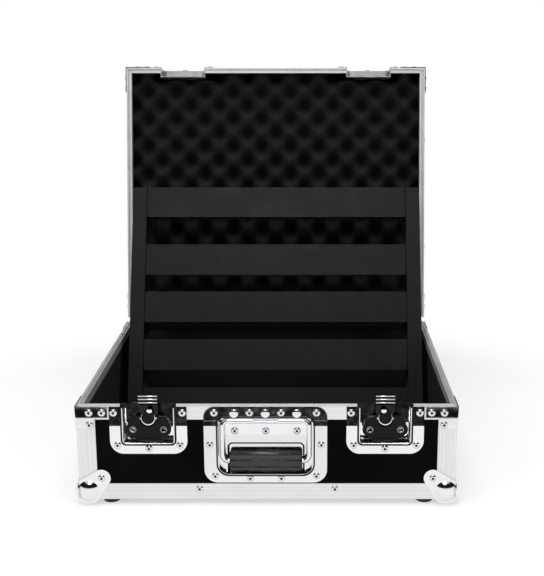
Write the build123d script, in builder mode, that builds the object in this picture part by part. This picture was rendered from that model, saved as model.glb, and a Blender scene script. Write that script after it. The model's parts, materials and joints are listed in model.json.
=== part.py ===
"""Flight case for a guitar pedal board, open, with its slatted board standing in it.

Frame: millimetres, +Z up, +X to the right, the case's front faces -Y. The origin is
on the floor under the middle of the tray. The lid is made closed and then swung open
about its hinge axis; the board is drawn on its own leaning plane.
"""
from build123d import *
from math import atan, cos, radians, sin
import os

# ---------------------------------------------------------------- driving dimensions
# Outer size of the tray and the lid
CASE_W = 496.0
CASE_D = 415.0
TRAY_H = 129.5
LID_H = 80.0
PLY = 6.0
SKIN = 1.2
FOOT_H = 10.0
FOOT_R = 12.0
FOOT_X_IN = 38.5
FOOT_Y_IN = 22.5
FOOT_TAPER = 1.0
FOOT_SCREW_R = 3.5
FOOT_SCREW_H = 2.0
FOOT_RECESS = 5.0
SCREW_SLOT = 1.0
SEAM = 0.3
SAW_CUT = 0.3
OPEN_ANGLE = 100.8
# How far a cut runs on past what it cuts
OVERCUT = 2.0

# Edge extrusions
RIM_FLANGE = 18.0
RIM_INNER_FLANGE = 12.0
RIM_WEB = 1.5
TONGUE_W = 2.0
TONGUE_H = 2.2
GROOVE_CLEAR = 0.5
BASE_LEG = 22.0
CORNER_LEG = 24.5

# Ball corners
BALL_R = 19.5
BALL_IN = 12.0
LOBE_R = 12.0
LOBE_OUT = 30.0
PLATE = 1.3

# Rim brackets, L plates folded round the corner
BRACKET_W = 41.0
BRACKET_H = 15.3
BRACKET_LEG_W = 22.5
BRACKET_LEG_H = 30.0

# Rivets
RIVET_R = 5.0
RIVET_H = 1.9
RIVET_SHOULDER = 0.72
RIVET_SIDES = 16
RIVET_DIMPLE_R = 1.5
RIVET_DIMPLE_H = 1.0
RIVET_EDGE = 8.4
BASE_RIVET_IN = 158.8
SIDE_RIVET_IN = 118.3
BASE_RIVET_UP = 14.5

# Twist latches
LATCH_IN = 93.7
LATCH_W = 101.0
LATCH_H = 65.5
LATCH_CORNER = 18.0
LATCH_RIVET_OUT = 1.7
LATCH_POCKET_W = 71.0
LATCH_POCKET_H = 53.0
POCKET_DEPTH = 14.0
POCKET_CORNER = 6.0
SHEET = 1.2
CAM_BELOW_RIM = 17.0
CAM_R = 9.5
CAM_T = 5.9
CAM_EDGE = 1.0
SPINDLE_R = 3.0
SPINDLE_L = 9.0
BASE_PLATE_T = 1.5
BASE_MARGIN = 2.0
LOBE_X = 20.0
LOBE_DROP = 15.0
BASE_LOBE_R = 7.5
HOOK_W = 25.0
HOOK_T = 1.8
HOOK_ABOVE_RIM = 14.0
HOOK_JOGGLE = 4.2
HOOK_LIP = 2.9
HOOK_TRAVEL = 10.0
HOOK_BACK = 5.8
HOOK_FOOT = 9.0
HOOK_FOLD_BELOW = 0.4
RUN_GAP = 0.3
WING_T = 1.8
WING_TOP_R = 15.0
WING_LOBE_R = 9.8
WING_DROP = 30.0
WING_NOTCH_CLEAR = 1.5
WING_EAR = 4.0
WING_PIN_R = 1.0
WING_BARREL = 0.9
WING_FRONT = 0.6
WING_LIP_W = 25.0
WING_LIP_H = 3.2
KEEPER_W = 32.0
KEEPER_T = 1.3
KEEPER_CLEAR = 0.4
KEEPER_POCKET_H = 34.0
KEEPER_PLATE_H = 46.0

# Carrying handle
HANDLE_X = -1.8
HANDLE_W = 161.0
HANDLE_H = 106.0
HANDLE_CORNER = 18.0
HANDLE_TOP_CORNER = 15.0
HANDLE_POCKET_W = 124.4
HANDLE_POCKET_H = 78.8
HANDLE_POCKET_CORNER = 14.0
HANDLE_POCKET_TOP_CORNER = 8.0
HANDLE_EDGE = 15.5
HANDLE_RIVET_IN = 14.0
HANDLE_RIVET_RISE = 3.0
HANDLE_SIDE_RIVET_OUT = 1.0
HANDLE_MID_X = 20.5
FINGER_W = 100.0
FINGER_H = 44.0
FINGER_DEPTH = 5.0
BAIL_R = 3.5
BAIL_HALF_W = 57.0
BAIL_DROP = 57.0
BAIL_BEND = 9.0
AXLE_BELOW_RIM = 21.0
AXLE_DEPTH = 7.5
GRIP_W = 96.0
GRIP_H = 28.0
GRIP_T = 12.0
GRIP_ROUND = 4.5
GRIP_GROOVES = 2
GRIP_GROOVE_R = 0.8
COVER_W = 111.0
COVER_T = 1.2
COVER_TAIL = 18.0
COVER_SLOT_W = 34.0
COVER_SLOT_H = 3.0
SPRING_WALL = 1.0
SPRING_HALF = 22.0
FIT = 0.15

# Hinges
HINGE_IN = 98.0
HINGE_BACK = 6.0
LEAF_W = 60.0
LEAF_H = 34.0
LEAF_T = 2.0
KNUCKLE_R = 5.0
HINGE_PIN_R = 2.5
KNUCKLES = 5
PIN_HEAD_T = 1.5
PIN_HEAD_R = 4.0
LEAF_RIVETS = (12.3, 27.2)

# Lid foam
FOAM_EDGE = 1.0
SOFT_GAP = 0.3

# Slatted board
BOARD_SIDE_GAP = 11.1
BOARD_L = 367.8
BOARD_LEAN = 22.7
BOARD_X = 3.0
BOARD_FRONT_T = 32.0
BOARD_BACK_T = 89.0
BOARD_NOSE_IN = 174.1
RAIL_W = 22.0
RAIL_T = 3.0
SLAT_W = 48.4
SLAT_GAPS = (27.0, 27.0, 27.3, 44.5)
SLAT_T = 3.0
SLAT_FLANGE = 12.0
SLAT_END_GAP = 1.5
TAB_L = 16.0
TAB_W = 30.0
BOARD_FOOT_R = 10.0
BOARD_FRONT_FOOT = 8.0
BOARD_BACK_FOOT = 14.0
BOARD_FOOT_IN = 24.0

# ---------------------------------------------------------------- derived places
HALF_W = CASE_W / 2
HALF_D = CASE_D / 2
BASE_Z = FOOT_H
RIM_Z = BASE_Z + TRAY_H
LID_RIM_Z = RIM_Z + SEAM
LID_TOP_Z = LID_RIM_Z + LID_H
WALL_T = PLY + 2 * SKIN
FLOOR_BOTTOM_Z = BASE_Z + SKIN
FLOOR_TOP_Z = FLOOR_BOTTOM_Z + PLY
PANEL_Y = HALF_D - SKIN
PANEL_X = HALF_W - SKIN
HINGE_Y = HALF_D + HINGE_BACK
HINGE_AXIS = Axis((0, HINGE_Y, RIM_Z), (1, 0, 0))
LATCH_X = HALF_W - LATCH_IN
HINGE_X = HALF_W - HINGE_IN
BOARD_W = CASE_W - 2 * (WALL_T + BOARD_SIDE_GAP)
BOARD_NOSE_Y = HINGE_Y - BOARD_NOSE_IN

FRONT = Plane(origin=(0, 0, 0), x_dir=(1, 0, 0), z_dir=(0, -1, 0))
BACK = Plane(origin=(0, 0, 0), x_dir=(-1, 0, 0), z_dir=(0, 1, 0))
RIGHT = Plane(origin=(0, 0, 0), x_dir=(0, 1, 0), z_dir=(1, 0, 0))
LEFT = Plane(origin=(0, 0, 0), x_dir=(0, -1, 0), z_dir=(-1, 0, 0))
# Each wall's plane, how far out it stands and half its length; the front and back come first
WALLS = ((FRONT, HALF_D, HALF_W), (BACK, HALF_D, HALF_W), (RIGHT, HALF_W, HALF_D), (LEFT, HALF_W, HALF_D))

os.makedirs("parts", exist_ok=True)


def write(shape, name):
    """Label one finished piece and write it to its own STEP file."""
    shape.label = name
    export_step(shape, f"parts/{name}.step")


def swing_open(shape):
    """Turn a lid piece from its closed place to the open stop."""
    return shape.rotate(HINGE_AXIS, -OPEN_ANGLE)


# ---------------------------------------------------------------- shared shapes
def ring(z0, z1, grow_out, wall):
    """A rectangular frame between two heights, its outside grow_out past the case."""
    with BuildPart() as frame:
        with BuildSketch(Plane.XY.offset(z0)):
            Rectangle(CASE_W + 2 * grow_out, CASE_D + 2 * grow_out)
            Rectangle(CASE_W + 2 * (grow_out - wall), CASE_D + 2 * (grow_out - wall), mode=Mode.SUBTRACT)
        extrude(amount=z1 - z0)
    return frame.part


def mitre_cuts(z0, z1):
    """Saw the four corners of a frame at 45 degrees, so its lengths come apart."""
    for sx in (-1, 1):
        for sy in (-1, 1):
            with Locations(Location((sx * HALF_W, sy * HALF_D, (z0 + z1) / 2), (0, 0, 45 * sx * sy))):
                Box(4 * BASE_LEG, SAW_CUT, z1 - z0 + OVERCUT, mode=Mode.SUBTRACT)


def panel(wall, out, width, z0, z1, cuts=()):
    """A flat ply wall, with the openings (x, z low, z high, width) cut through it."""
    with BuildPart() as wood:
        with BuildSketch(wall.offset(out - PLY)):
            with Locations((0, (z0 + z1) / 2)):
                Rectangle(width, z1 - z0)
            for x, low, high, cut_w in cuts:
                with Locations((x, (low + high) / 2)):
                    Rectangle(cut_w, high - low, mode=Mode.SUBTRACT)
        extrude(amount=PLY)
    return wood.part


def corner_angles(z0, z1):
    """Upright L extrusions on the four corners."""
    with BuildPart() as angles:
        add(ring(z0, z1, 0, SKIN))
        with Locations((0, 0, (z0 + z1) / 2)):
            Box(CASE_W - 2 * CORNER_LEG, CASE_D + OVERCUT, z1 - z0 + OVERCUT, mode=Mode.SUBTRACT)
            Box(CASE_W + OVERCUT, CASE_D - 2 * CORNER_LEG, z1 - z0 + OVERCUT, mode=Mode.SUBTRACT)
    return angles.part


def edge_angles(z_edge, up):
    """Four mitred L extrusions round the base (up = 1) or the top (up = -1)."""
    z_leg = z_edge + up * BASE_LEG
    z_skin = z_edge + up * SKIN
    with BuildPart() as angles:
        add(ring(min(z_edge, z_leg), max(z_edge, z_leg), 0, SKIN))
        add(ring(min(z_edge, z_skin), max(z_edge, z_skin), 0, BASE_LEG))
        mitre_cuts(min(z_edge, z_leg), max(z_edge, z_leg))
    return angles.part


def rim_profiles(z_rim, up, male):
    """Mitred U extrusions on the wall's edge; up = 1 for the tray, -1 for the lid."""
    z_web = z_rim - up * RIM_WEB
    z_out = z_rim - up * RIM_FLANGE
    z_in = z_rim - up * RIM_INNER_FLANGE
    with BuildPart() as rims:
        add(ring(min(z_rim, z_out), max(z_rim, z_out), 0, SKIN))
        add(ring(min(z_rim, z_in), max(z_rim, z_in), SKIN - WALL_T, SKIN))
        if male:
            add(ring(min(z_rim, z_web), max(z_rim, z_web), 0, WALL_T))
            add(ring(z_rim, z_rim + TONGUE_H, (TONGUE_W - WALL_T) / 2, TONGUE_W))
        else:
            slot = TONGUE_W + 2 * GROOVE_CLEAR
            side = (WALL_T - slot) / 2
            z_deep = z_rim + TONGUE_H + GROOVE_CLEAR
            add(ring(z_rim, z_deep + RIM_WEB, 0, side))
            add(ring(z_rim, z_deep + RIM_WEB, side - WALL_T, side))
            add(ring(z_deep, z_deep + RIM_WEB, 0, WALL_T))
        for sx in (-1, 1):
            with Locations((sx * LATCH_X, -HALF_D, z_rim)):
                Box(LATCH_CUT_W, 4 * WALL_T, 2 * RIM_FLANGE + OVERCUT, mode=Mode.SUBTRACT)
        if male:
            with Locations((HANDLE_X, -HALF_D, z_rim - RIM_FLANGE)):
                Box(HANDLE_CUT_W, 4 * WALL_T, 2 * (RIM_FLANGE - HANDLE_EDGE + SHEET), mode=Mode.SUBTRACT)
        mitre_cuts(min(z_rim, z_out), max(z_rim, z_out) + 2 * TONGUE_H)
    return rims.part


def ball_corners(z_edge, up):
    """Ball corners: a ball on each corner and a riveted lobe on both walls."""
    with BuildPart() as balls:
        for sx in (-1, 1):
            for sy in (-1, 1):
                with Locations((sx * (HALF_W - BALL_IN), sy * (HALF_D - BALL_IN), z_edge + up * BALL_IN)):
                    Sphere(BALL_R)
        for wall, out, half in WALLS:
            for side in (-1, 1):
                with BuildSketch(wall.offset(out)):
                    with Locations((side * (half - BALL_IN), z_edge + up * BALL_IN)):
                        Circle(BALL_R - PLATE)
                    with Locations((side * (half - LOBE_OUT), z_edge + up * LOBE_OUT)):
                        Circle(LOBE_R)
                    make_hull()
                extrude(amount=PLATE)
        with Locations((0, 0, z_edge + up * CASE_D / 2)):
            Box(CASE_W, CASE_D, CASE_D, mode=Mode.SUBTRACT)
    return balls.part


def rim_brackets(z_rim, up):
    """Steel plates folded round the corners over the rim extrusions."""
    z_mid = z_rim - up * BRACKET_H / 2
    z_leg = z_rim - up * BRACKET_LEG_H / 2
    with BuildPart() as plates:
        for wall, out, half in WALLS:
            with BuildSketch(wall.offset(out)):
                for side in (-1, 1):
                    with Locations((side * (half + PLATE - (BRACKET_W + PLATE) / 2), z_mid)):
                        Rectangle(BRACKET_W + PLATE, BRACKET_H)
                    with Locations((side * (half + PLATE - (BRACKET_LEG_W + PLATE) / 2), z_leg)):
                        Rectangle(BRACKET_LEG_W + PLATE, BRACKET_LEG_H)
            extrude(amount=PLATE)
        fillet(plates.edges().filter_by(Axis.Z).filter_by(is_outer_corner), PLATE)
    return plates.part


def is_outer_corner(edge):
    """True for the four upright edges at the very corners of the case."""
    middle = edge.center()
    return abs(middle.X) > HALF_W and abs(middle.Y) > HALF_D


def split_x(points):
    """The same points on both sides of the middle."""
    return [(side * u, v) for side in (-1, 1) for u, v in points]


# ---------------------------------------------------------------- fasteners
with BuildPart() as rivet:
    with BuildSketch():
        RegularPolygon(RIVET_R, RIVET_SIDES)
    with BuildSketch(Plane.XY.offset(RIVET_H * RIVET_SHOULDER)):
        RegularPolygon(RIVET_R * RIVET_SHOULDER, RIVET_SIDES)
    loft()
    with BuildSketch(Plane.XY.offset(RIVET_H * RIVET_SHOULDER)):
        RegularPolygon(RIVET_R * RIVET_SHOULDER, RIVET_SIDES)
    with BuildSketch(Plane.XY.offset(RIVET_H)):
        RegularPolygon(RIVET_DIMPLE_R, RIVET_SIDES)
    loft()
    with BuildSketch(Plane.XY.offset(RIVET_H)):
        RegularPolygon(RIVET_DIMPLE_R, RIVET_SIDES)
    extrude(amount=-RIVET_DIMPLE_H, mode=Mode.SUBTRACT)
RIVET = rivet.part

# ---------------------------------------------------------------- latch and handle places
LATCH_CUT_W = LATCH_POCKET_W + 2 * SHEET
HANDLE_CUT_W = HANDLE_POCKET_W + 2 * SHEET
LATCH_POCKET_Z = RIM_Z - LATCH_POCKET_H
KEEPER_POCKET_Z = LID_RIM_Z + KEEPER_POCKET_H
HANDLE_POCKET_TOP = RIM_Z - HANDLE_EDGE
HANDLE_POCKET_Z = HANDLE_POCKET_TOP - HANDLE_POCKET_H
FLOOR_Y = PANEL_Y - POCKET_DEPTH + SHEET
CAM_Z = RIM_Z - CAM_BELOW_RIM
HOOK_CATCH_Z = RIM_Z + HOOK_ABOVE_RIM - HOOK_T - HOOK_TRAVEL - RUN_GAP
KEEPER_REACH = HOOK_BACK + HOOK_JOGGLE - HOOK_LIP - KEEPER_CLEAR
CAM_BACK = HOOK_BACK + HOOK_T + RUN_GAP
WING_Y = -(PANEL_Y + SHEET - WING_FRONT - WING_T / 2)

# ---------------------------------------------------------------- tray panels
wall_cuts = [(x, LATCH_POCKET_Z - SHEET, RIM_Z, LATCH_CUT_W) for x in (-LATCH_X, LATCH_X)]
wall_cuts.append((HANDLE_X, HANDLE_POCKET_Z - SHEET, HANDLE_POCKET_TOP + SHEET, HANDLE_CUT_W))
PANEL_TOP = RIM_Z - RIM_WEB
SIDE_LEN = 2 * (PANEL_Y - PLY)

with BuildPart() as tray_floor:
    with BuildSketch(Plane.XY.offset(FLOOR_BOTTOM_Z)):
        Rectangle(2 * PANEL_X, 2 * PANEL_Y)
    extrude(amount=PLY)
write(tray_floor.part, "tray_floor_panel")
write(panel(FRONT, PANEL_Y, 2 * PANEL_X, FLOOR_TOP_Z, PANEL_TOP, wall_cuts), "tray_front_panel")
write(panel(BACK, PANEL_Y, 2 * PANEL_X, FLOOR_TOP_Z, PANEL_TOP), "tray_back_panel")
write(panel(LEFT, PANEL_X, SIDE_LEN, FLOOR_TOP_Z, PANEL_TOP), "tray_left_panel")
write(panel(RIGHT, PANEL_X, SIDE_LEN, FLOOR_TOP_Z, PANEL_TOP), "tray_right_panel")

# ---------------------------------------------------------------- tray edges
write(rim_profiles(RIM_Z, 1, True), "tray_rim_profiles")
write(edge_angles(BASE_Z, 1), "tray_base_angles")
write(corner_angles(BASE_Z + BASE_LEG, RIM_Z - RIM_FLANGE), "tray_corner_angles")
write(ball_corners(BASE_Z, 1), "tray_ball_corners")
write(rim_brackets(RIM_Z, 1), "tray_rim_brackets")

# ---------------------------------------------------------------- feet
FOOT_SPOTS = [(sx * (HALF_W - FOOT_X_IN), sy * (HALF_D - FOOT_Y_IN)) for sx in (-1, 1) for sy in (-1, 1)]

with BuildPart() as feet:
    with Locations([(x, y, FOOT_H / 2) for x, y in FOOT_SPOTS]):
        Cone(FOOT_R - FOOT_TAPER, FOOT_R, FOOT_H)
    with Locations([(x, y, 0) for x, y in FOOT_SPOTS]):
        Cylinder(FOOT_SCREW_R + RUN_GAP, 2 * FOOT_RECESS, mode=Mode.SUBTRACT)
write(feet.part, "rubber_feet")

with BuildPart() as screws:
    with Locations([(x, y, FOOT_RECESS) for x, y in FOOT_SPOTS]):
        Cylinder(FOOT_SCREW_R, FOOT_SCREW_H, align=(Align.CENTER, Align.CENTER, Align.MAX))
    with Locations([(x, y, FOOT_RECESS - FOOT_SCREW_H) for x, y in FOOT_SPOTS]):
        Box(2 * (FOOT_SCREW_R - SCREW_SLOT), SCREW_SLOT, SCREW_SLOT,
            align=(Align.CENTER, Align.CENTER, Align.MIN), mode=Mode.SUBTRACT)
write(screws.part, "foot_screws")


# ---------------------------------------------------------------- pressed dishes
def dish_outline(x, low, high, width, corners, z_from, z_to, distance):
    """The part of a dish's outline between two heights, as a sheet at a distance out."""
    with BuildPart() as sheet:
        with BuildSketch(FRONT.offset(distance)) as outline:
            with Locations((x, (low + high) / 2)):
                Rectangle(width, high - low)
            for place, radius in zip((0, -1), corners):
                if radius:
                    fillet(outline.vertices().group_by(Axis.Y)[place], radius)
            with Locations((x, (z_from + z_to) / 2)):
                Rectangle(width, z_to - z_from, mode=Mode.INTERSECT)
        extrude(amount=SHEET)
    return sheet.part


def dish(x, plate, corners, pocket, pocket_r, z_rim, up):
    """A pressed plate on the front wall with a pocket sunk into it.

    plate is (low, high, width) and pocket the same for the hollow; corners and pocket_r
    are the radii of their lower and upper corners. The stretch that lies on the rim
    extrusion is stepped out by the extrusion's thickness.
    """
    low, high, width = plate
    p_low, p_high, p_width = pocket
    z_step = z_rim - up * RIM_FLANGE
    step_low, step_high = (z_step - SHEET, high) if up > 0 else (low, z_step + SHEET)
    flat_low, flat_high = (low, z_step) if up > 0 else (z_step, high)
    with BuildPart() as sheet:
        add(dish_outline(x, low, high, width, corners, flat_low, flat_high, PANEL_Y))
        add(dish_outline(x, low, high, width, corners, step_low, step_high, HALF_D))
        for grow, floor, face, mode in ((SHEET, FLOOR_Y - SHEET, PANEL_Y + SHEET, Mode.ADD),
                                        (0, FLOOR_Y, HALF_D + 2 * SHEET, Mode.SUBTRACT)):
            with BuildSketch(FRONT.offset(floor)) as hollow:
                with Locations((x, (p_low + p_high) / 2)):
                    Rectangle(p_width + 2 * grow, p_high - p_low + 2 * grow)
                for place, radius in zip((0, -1), pocket_r):
                    fillet(hollow.vertices().group_by(Axis.Y)[place], radius + grow)
                with Locations((x, (low + high) / 2)):
                    Rectangle(p_width + 2 * grow, high - low, mode=Mode.INTERSECT)
            extrude(amount=face - floor, mode=mode)
    return sheet.part


# ---------------------------------------------------------------- twist latches
def latch(side_name, x):
    """One twist latch: dish, base plate with spindle, cam, folding wing and hook."""
    pressed = dish(x, (RIM_Z - LATCH_H, RIM_Z, LATCH_W), (LATCH_CORNER, 0),
                   (LATCH_POCKET_Z, RIM_Z + LATCH_POCKET_H, LATCH_POCKET_W), (POCKET_CORNER, POCKET_CORNER),
                   RIM_Z, 1)
    write(pressed, f"{side_name}_latch_dish")

    on_floor = FRONT.offset(FLOOR_Y)
    with BuildPart() as base:
        with BuildSketch(on_floor):
            with Locations((x, CAM_Z)):
                Circle(HOOK_W / 2 + BASE_MARGIN)
            for side in (-1, 1):
                with Locations((x + side * LOBE_X, CAM_Z - LOBE_DROP)):
                    Circle(BASE_LOBE_R)
            make_hull()
        extrude(amount=BASE_PLATE_T)
        with Locations(on_floor * Location((x, CAM_Z, BASE_PLATE_T))):
            Cylinder(SPINDLE_R, SPINDLE_L, align=(Align.CENTER, Align.CENTER, Align.MIN))
    write(base.part, f"{side_name}_latch_base")

    with BuildPart() as cam:
        with Locations(on_floor * Location((x, CAM_Z, CAM_BACK))):
            Cylinder(CAM_R, CAM_T, align=(Align.CENTER, Align.CENTER, Align.MIN))
            Cylinder(SPINDLE_R + FIT, SPINDLE_L + BASE_PLATE_T + FIT - CAM_BACK,
                     align=(Align.CENTER, Align.CENTER, Align.MIN), mode=Mode.SUBTRACT)
        with Locations(Location((x, WING_Y, CAM_Z), (0, 90, 0))):
            Cylinder(WING_PIN_R, 2 * (CAM_R + WING_NOTCH_CLEAR + WING_EAR))
        fillet(cam.faces().sort_by(Axis.Y)[0].edges(), CAM_EDGE)
    write(cam.part, f"{side_name}_latch_cam")

    on_wing = FRONT.offset(-WING_Y - WING_T / 2)
    with BuildPart() as wing:
        with BuildSketch(on_wing):
            with Locations((x, CAM_Z)):
                Circle(WING_TOP_R)
            for side in (-1, 1):
                with Locations((x + side * LOBE_X, CAM_Z - LOBE_DROP)):
                    Circle(WING_LOBE_R)
            with Locations((x, CAM_Z - WING_DROP + WING_LIP_H / 2)):
                Rectangle(WING_LIP_W, WING_LIP_H)
            make_hull()
            with Locations((x, CAM_Z + WING_EAR + CAM_R)):
                Rectangle(4 * WING_TOP_R, 2 * CAM_R, mode=Mode.SUBTRACT)
            with Locations((x, CAM_Z)):
                Circle(CAM_R + WING_NOTCH_CLEAR, mode=Mode.SUBTRACT)
            with Locations((x, CAM_Z + CAM_R)):
                Rectangle(2 * (CAM_R + WING_NOTCH_CLEAR), 2 * CAM_R, mode=Mode.SUBTRACT)
            for side in (-1, 1):
                with Locations((x + side * LOBE_X, CAM_Z - LOBE_DROP)):
                    Circle(RIVET_R + RUN_GAP, mode=Mode.SUBTRACT)
        extrude(amount=WING_T)
        with Locations(Location((x, WING_Y, CAM_Z), (0, 90, 0))):
            for end in (-1, 1):
                with Locations((0, 0, end * (CAM_R + WING_NOTCH_CLEAR + WING_EAR / 2))):
                    Cylinder(WING_PIN_R + WING_BARREL, WING_EAR)
            Cylinder(WING_PIN_R + FIT, 4 * CAM_R, mode=Mode.SUBTRACT)
    write(wing.part, f"{side_name}_latch_wing")

    hook_back = FLOOR_Y + HOOK_BACK
    z_fold = RIM_Z - HOOK_FOLD_BELOW
    z_top = RIM_Z + HOOK_ABOVE_RIM
    with BuildPart() as hook:
        with BuildSketch(Plane.YZ.offset(x - HOOK_W / 2)):
            with BuildLine():
                y0, y1 = -hook_back, -hook_back - HOOK_T
                y2, y3 = y0 - HOOK_JOGGLE, y1 - HOOK_JOGGLE
                z_foot = CAM_Z - HOOK_FOOT
                Polyline((y0, z_foot), (y0, z_fold), (y2, z_fold + HOOK_JOGGLE), (y2, z_top - HOOK_T),
                         (y2 + HOOK_LIP, z_top - HOOK_T), (y2 + HOOK_LIP, z_top), (y3, z_top),
                         (y3, z_fold + HOOK_JOGGLE), (y1, z_fold), (y1, z_foot), (y0, z_foot))
            make_face()
        extrude(amount=HOOK_W)
        with BuildSketch(FRONT.offset(0)):
            with Locations((x, CAM_Z + HOOK_TRAVEL / 2)):
                SlotCenterToCenter(HOOK_TRAVEL, 2 * (SPINDLE_R + RUN_GAP), rotation=90)
        extrude(amount=CASE_D, mode=Mode.SUBTRACT)
    write(hook.part, f"{side_name}_latch_hook")


for latch_side, latch_x in (("left", -LATCH_X), ("right", LATCH_X)):
    latch(latch_side, latch_x)


# ---------------------------------------------------------------- carrying handle
AXLE_Z = RIM_Z - AXLE_BELOW_RIM
AXLE_Y = -(FLOOR_Y + AXLE_DEPTH)
GRIP_Z = AXLE_Z - BAIL_DROP

with BuildPart() as handle_dish:
    add(dish(HANDLE_X, (RIM_Z - HANDLE_H, RIM_Z, HANDLE_W), (HANDLE_CORNER, HANDLE_TOP_CORNER),
             (HANDLE_POCKET_Z, HANDLE_POCKET_TOP, HANDLE_POCKET_W),
             (HANDLE_POCKET_CORNER, HANDLE_POCKET_TOP_CORNER), RIM_Z, 1))
    well_back = FLOOR_Y - SHEET - FINGER_DEPTH
    for grow, floor, face, mode in ((SHEET, well_back, FLOOR_Y, Mode.ADD),
                                    (0, well_back + SHEET, FLOOR_Y + SHEET, Mode.SUBTRACT)):
        with BuildSketch(FRONT.offset(floor)):
            with Locations((HANDLE_X, GRIP_Z)):
                RectangleRounded(FINGER_W + 2 * grow, FINGER_H + 2 * grow, POCKET_CORNER + grow)
        extrude(amount=face - floor, mode=mode)
write(handle_dish.part, "handle_dish")

with BuildPart() as cover:
    barrel_r = BAIL_R + FIT + COVER_T
    barrel_w = 2 * (BAIL_HALF_W - BAIL_BEND - RUN_GAP)
    with BuildSketch(Plane.YZ.offset(HANDLE_X - barrel_w / 2)):
        with Locations((AXLE_Y, AXLE_Z)):
            Circle(barrel_r)
        with Locations((-FLOOR_Y, AXLE_Z)):
            Rectangle(AXLE_DEPTH, 2 * barrel_r, align=(Align.MAX, Align.CENTER))
    extrude(amount=barrel_w)
    with Locations((HANDLE_X, -FLOOR_Y, AXLE_Z)):
        Box(COVER_W, COVER_T, barrel_r + COVER_TAIL, align=(Align.CENTER, Align.MAX, Align.MAX))
    with Locations(Location((HANDLE_X, AXLE_Y, AXLE_Z), (0, 90, 0))):
        Cylinder(BAIL_R + FIT, barrel_w, mode=Mode.SUBTRACT)
    with Locations((HANDLE_X, AXLE_Y - BAIL_R, AXLE_Z)):
        Box(COVER_SLOT_W, 2 * BAIL_R, COVER_SLOT_H, mode=Mode.SUBTRACT)
write(cover.part, "handle_cover")

with BuildPart() as bail:
    with BuildLine() as wire:
        FilletPolyline((HANDLE_X - SPRING_HALF, AXLE_Y, AXLE_Z), (HANDLE_X - BAIL_HALF_W, AXLE_Y, AXLE_Z),
                       (HANDLE_X - BAIL_HALF_W, AXLE_Y, GRIP_Z), (HANDLE_X + BAIL_HALF_W, AXLE_Y, GRIP_Z),
                       (HANDLE_X + BAIL_HALF_W, AXLE_Y, AXLE_Z), (HANDLE_X + SPRING_HALF, AXLE_Y, AXLE_Z),
                       radius=BAIL_BEND)
    with BuildSketch(Plane(origin=wire.line @ 0, z_dir=wire.line % 0)):
        Circle(BAIL_R)
    sweep()
write(bail.part, "handle_bail")

with BuildPart() as grip:
    with BuildSketch(Plane.YZ.offset(HANDLE_X - GRIP_W / 2)) as section:
        with Locations((AXLE_Y, GRIP_Z)):
            RectangleRounded(GRIP_T, GRIP_H, GRIP_ROUND)
        for row in range(GRIP_GROOVES):
            step = GRIP_H / (GRIP_GROOVES + 1)
            with Locations((AXLE_Y - GRIP_T / 2, GRIP_Z - GRIP_H / 2 + (row + 1) * step)):
                Circle(GRIP_GROOVE_R, mode=Mode.SUBTRACT)
        with Locations((AXLE_Y, GRIP_Z)):
            Circle(BAIL_R, mode=Mode.SUBTRACT)
    extrude(amount=GRIP_W)
write(grip.part, "handle_grip")

with BuildPart() as spring:
    with Locations(Location((HANDLE_X, AXLE_Y, AXLE_Z), (0, 90, 0))):
        Cylinder(BAIL_R, 2 * (SPRING_HALF - RUN_GAP))
        Cylinder(BAIL_R - SPRING_WALL, 2 * SPRING_HALF, mode=Mode.SUBTRACT)
write(spring.part, "handle_spring")


# ---------------------------------------------------------------- hinges
def hinge_half(z_low, z_high, first):
    """The leaves of both hinges on one side of the joint; first picks the knuckles."""
    step = LEAF_W / KNUCKLES
    with BuildPart() as leaves:
        for x in (-HINGE_X, HINGE_X):
            with Locations((x, HALF_D, (z_low + z_high) / 2)):
                Box(LEAF_W, LEAF_T, z_high - z_low, align=(Align.CENTER, Align.MIN, Align.CENTER))
            for place in range(KNUCKLES):
                middle = (x - LEAF_W / 2 + (place + 0.5) * step, HINGE_Y, RIM_Z)
                with Locations(Location(middle, (0, 90, 0))):
                    if place % 2 == first:
                        Cylinder(KNUCKLE_R, step - RUN_GAP)
                    else:
                        Cylinder(KNUCKLE_R + 2 * RUN_GAP, step + RUN_GAP, mode=Mode.SUBTRACT)
            with Locations(Location((x, HINGE_Y, RIM_Z), (0, 90, 0))):
                Cylinder(HINGE_PIN_R + FIT, LEAF_W, mode=Mode.SUBTRACT)
    return leaves.part


write(hinge_half(RIM_Z - LEAF_H, RIM_Z, 0), "hinge_tray_leaves")
write(swing_open(hinge_half(LID_RIM_Z, LID_RIM_Z + LEAF_H, 1)), "hinge_lid_leaves")
with BuildPart() as pins:
    with Locations([Location((x, HINGE_Y, RIM_Z), (0, 90, 0)) for x in (-HINGE_X, HINGE_X)]):
        Cylinder(HINGE_PIN_R, LEAF_W)
    with Locations([Location((x + side * (LEAF_W + PIN_HEAD_T) / 2, HINGE_Y, RIM_Z), (0, 90, 0))
                    for x in (-HINGE_X, HINGE_X) for side in (-1, 1)]):
        Cylinder(PIN_HEAD_R, PIN_HEAD_T)
write(pins.part, "hinge_pins")


# ---------------------------------------------------------------- lid
LID_TOP_IN = LID_TOP_Z - SKIN - PLY
LID_PANEL_RIM = LID_RIM_Z + TONGUE_H + GROOVE_CLEAR + RIM_WEB

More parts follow.
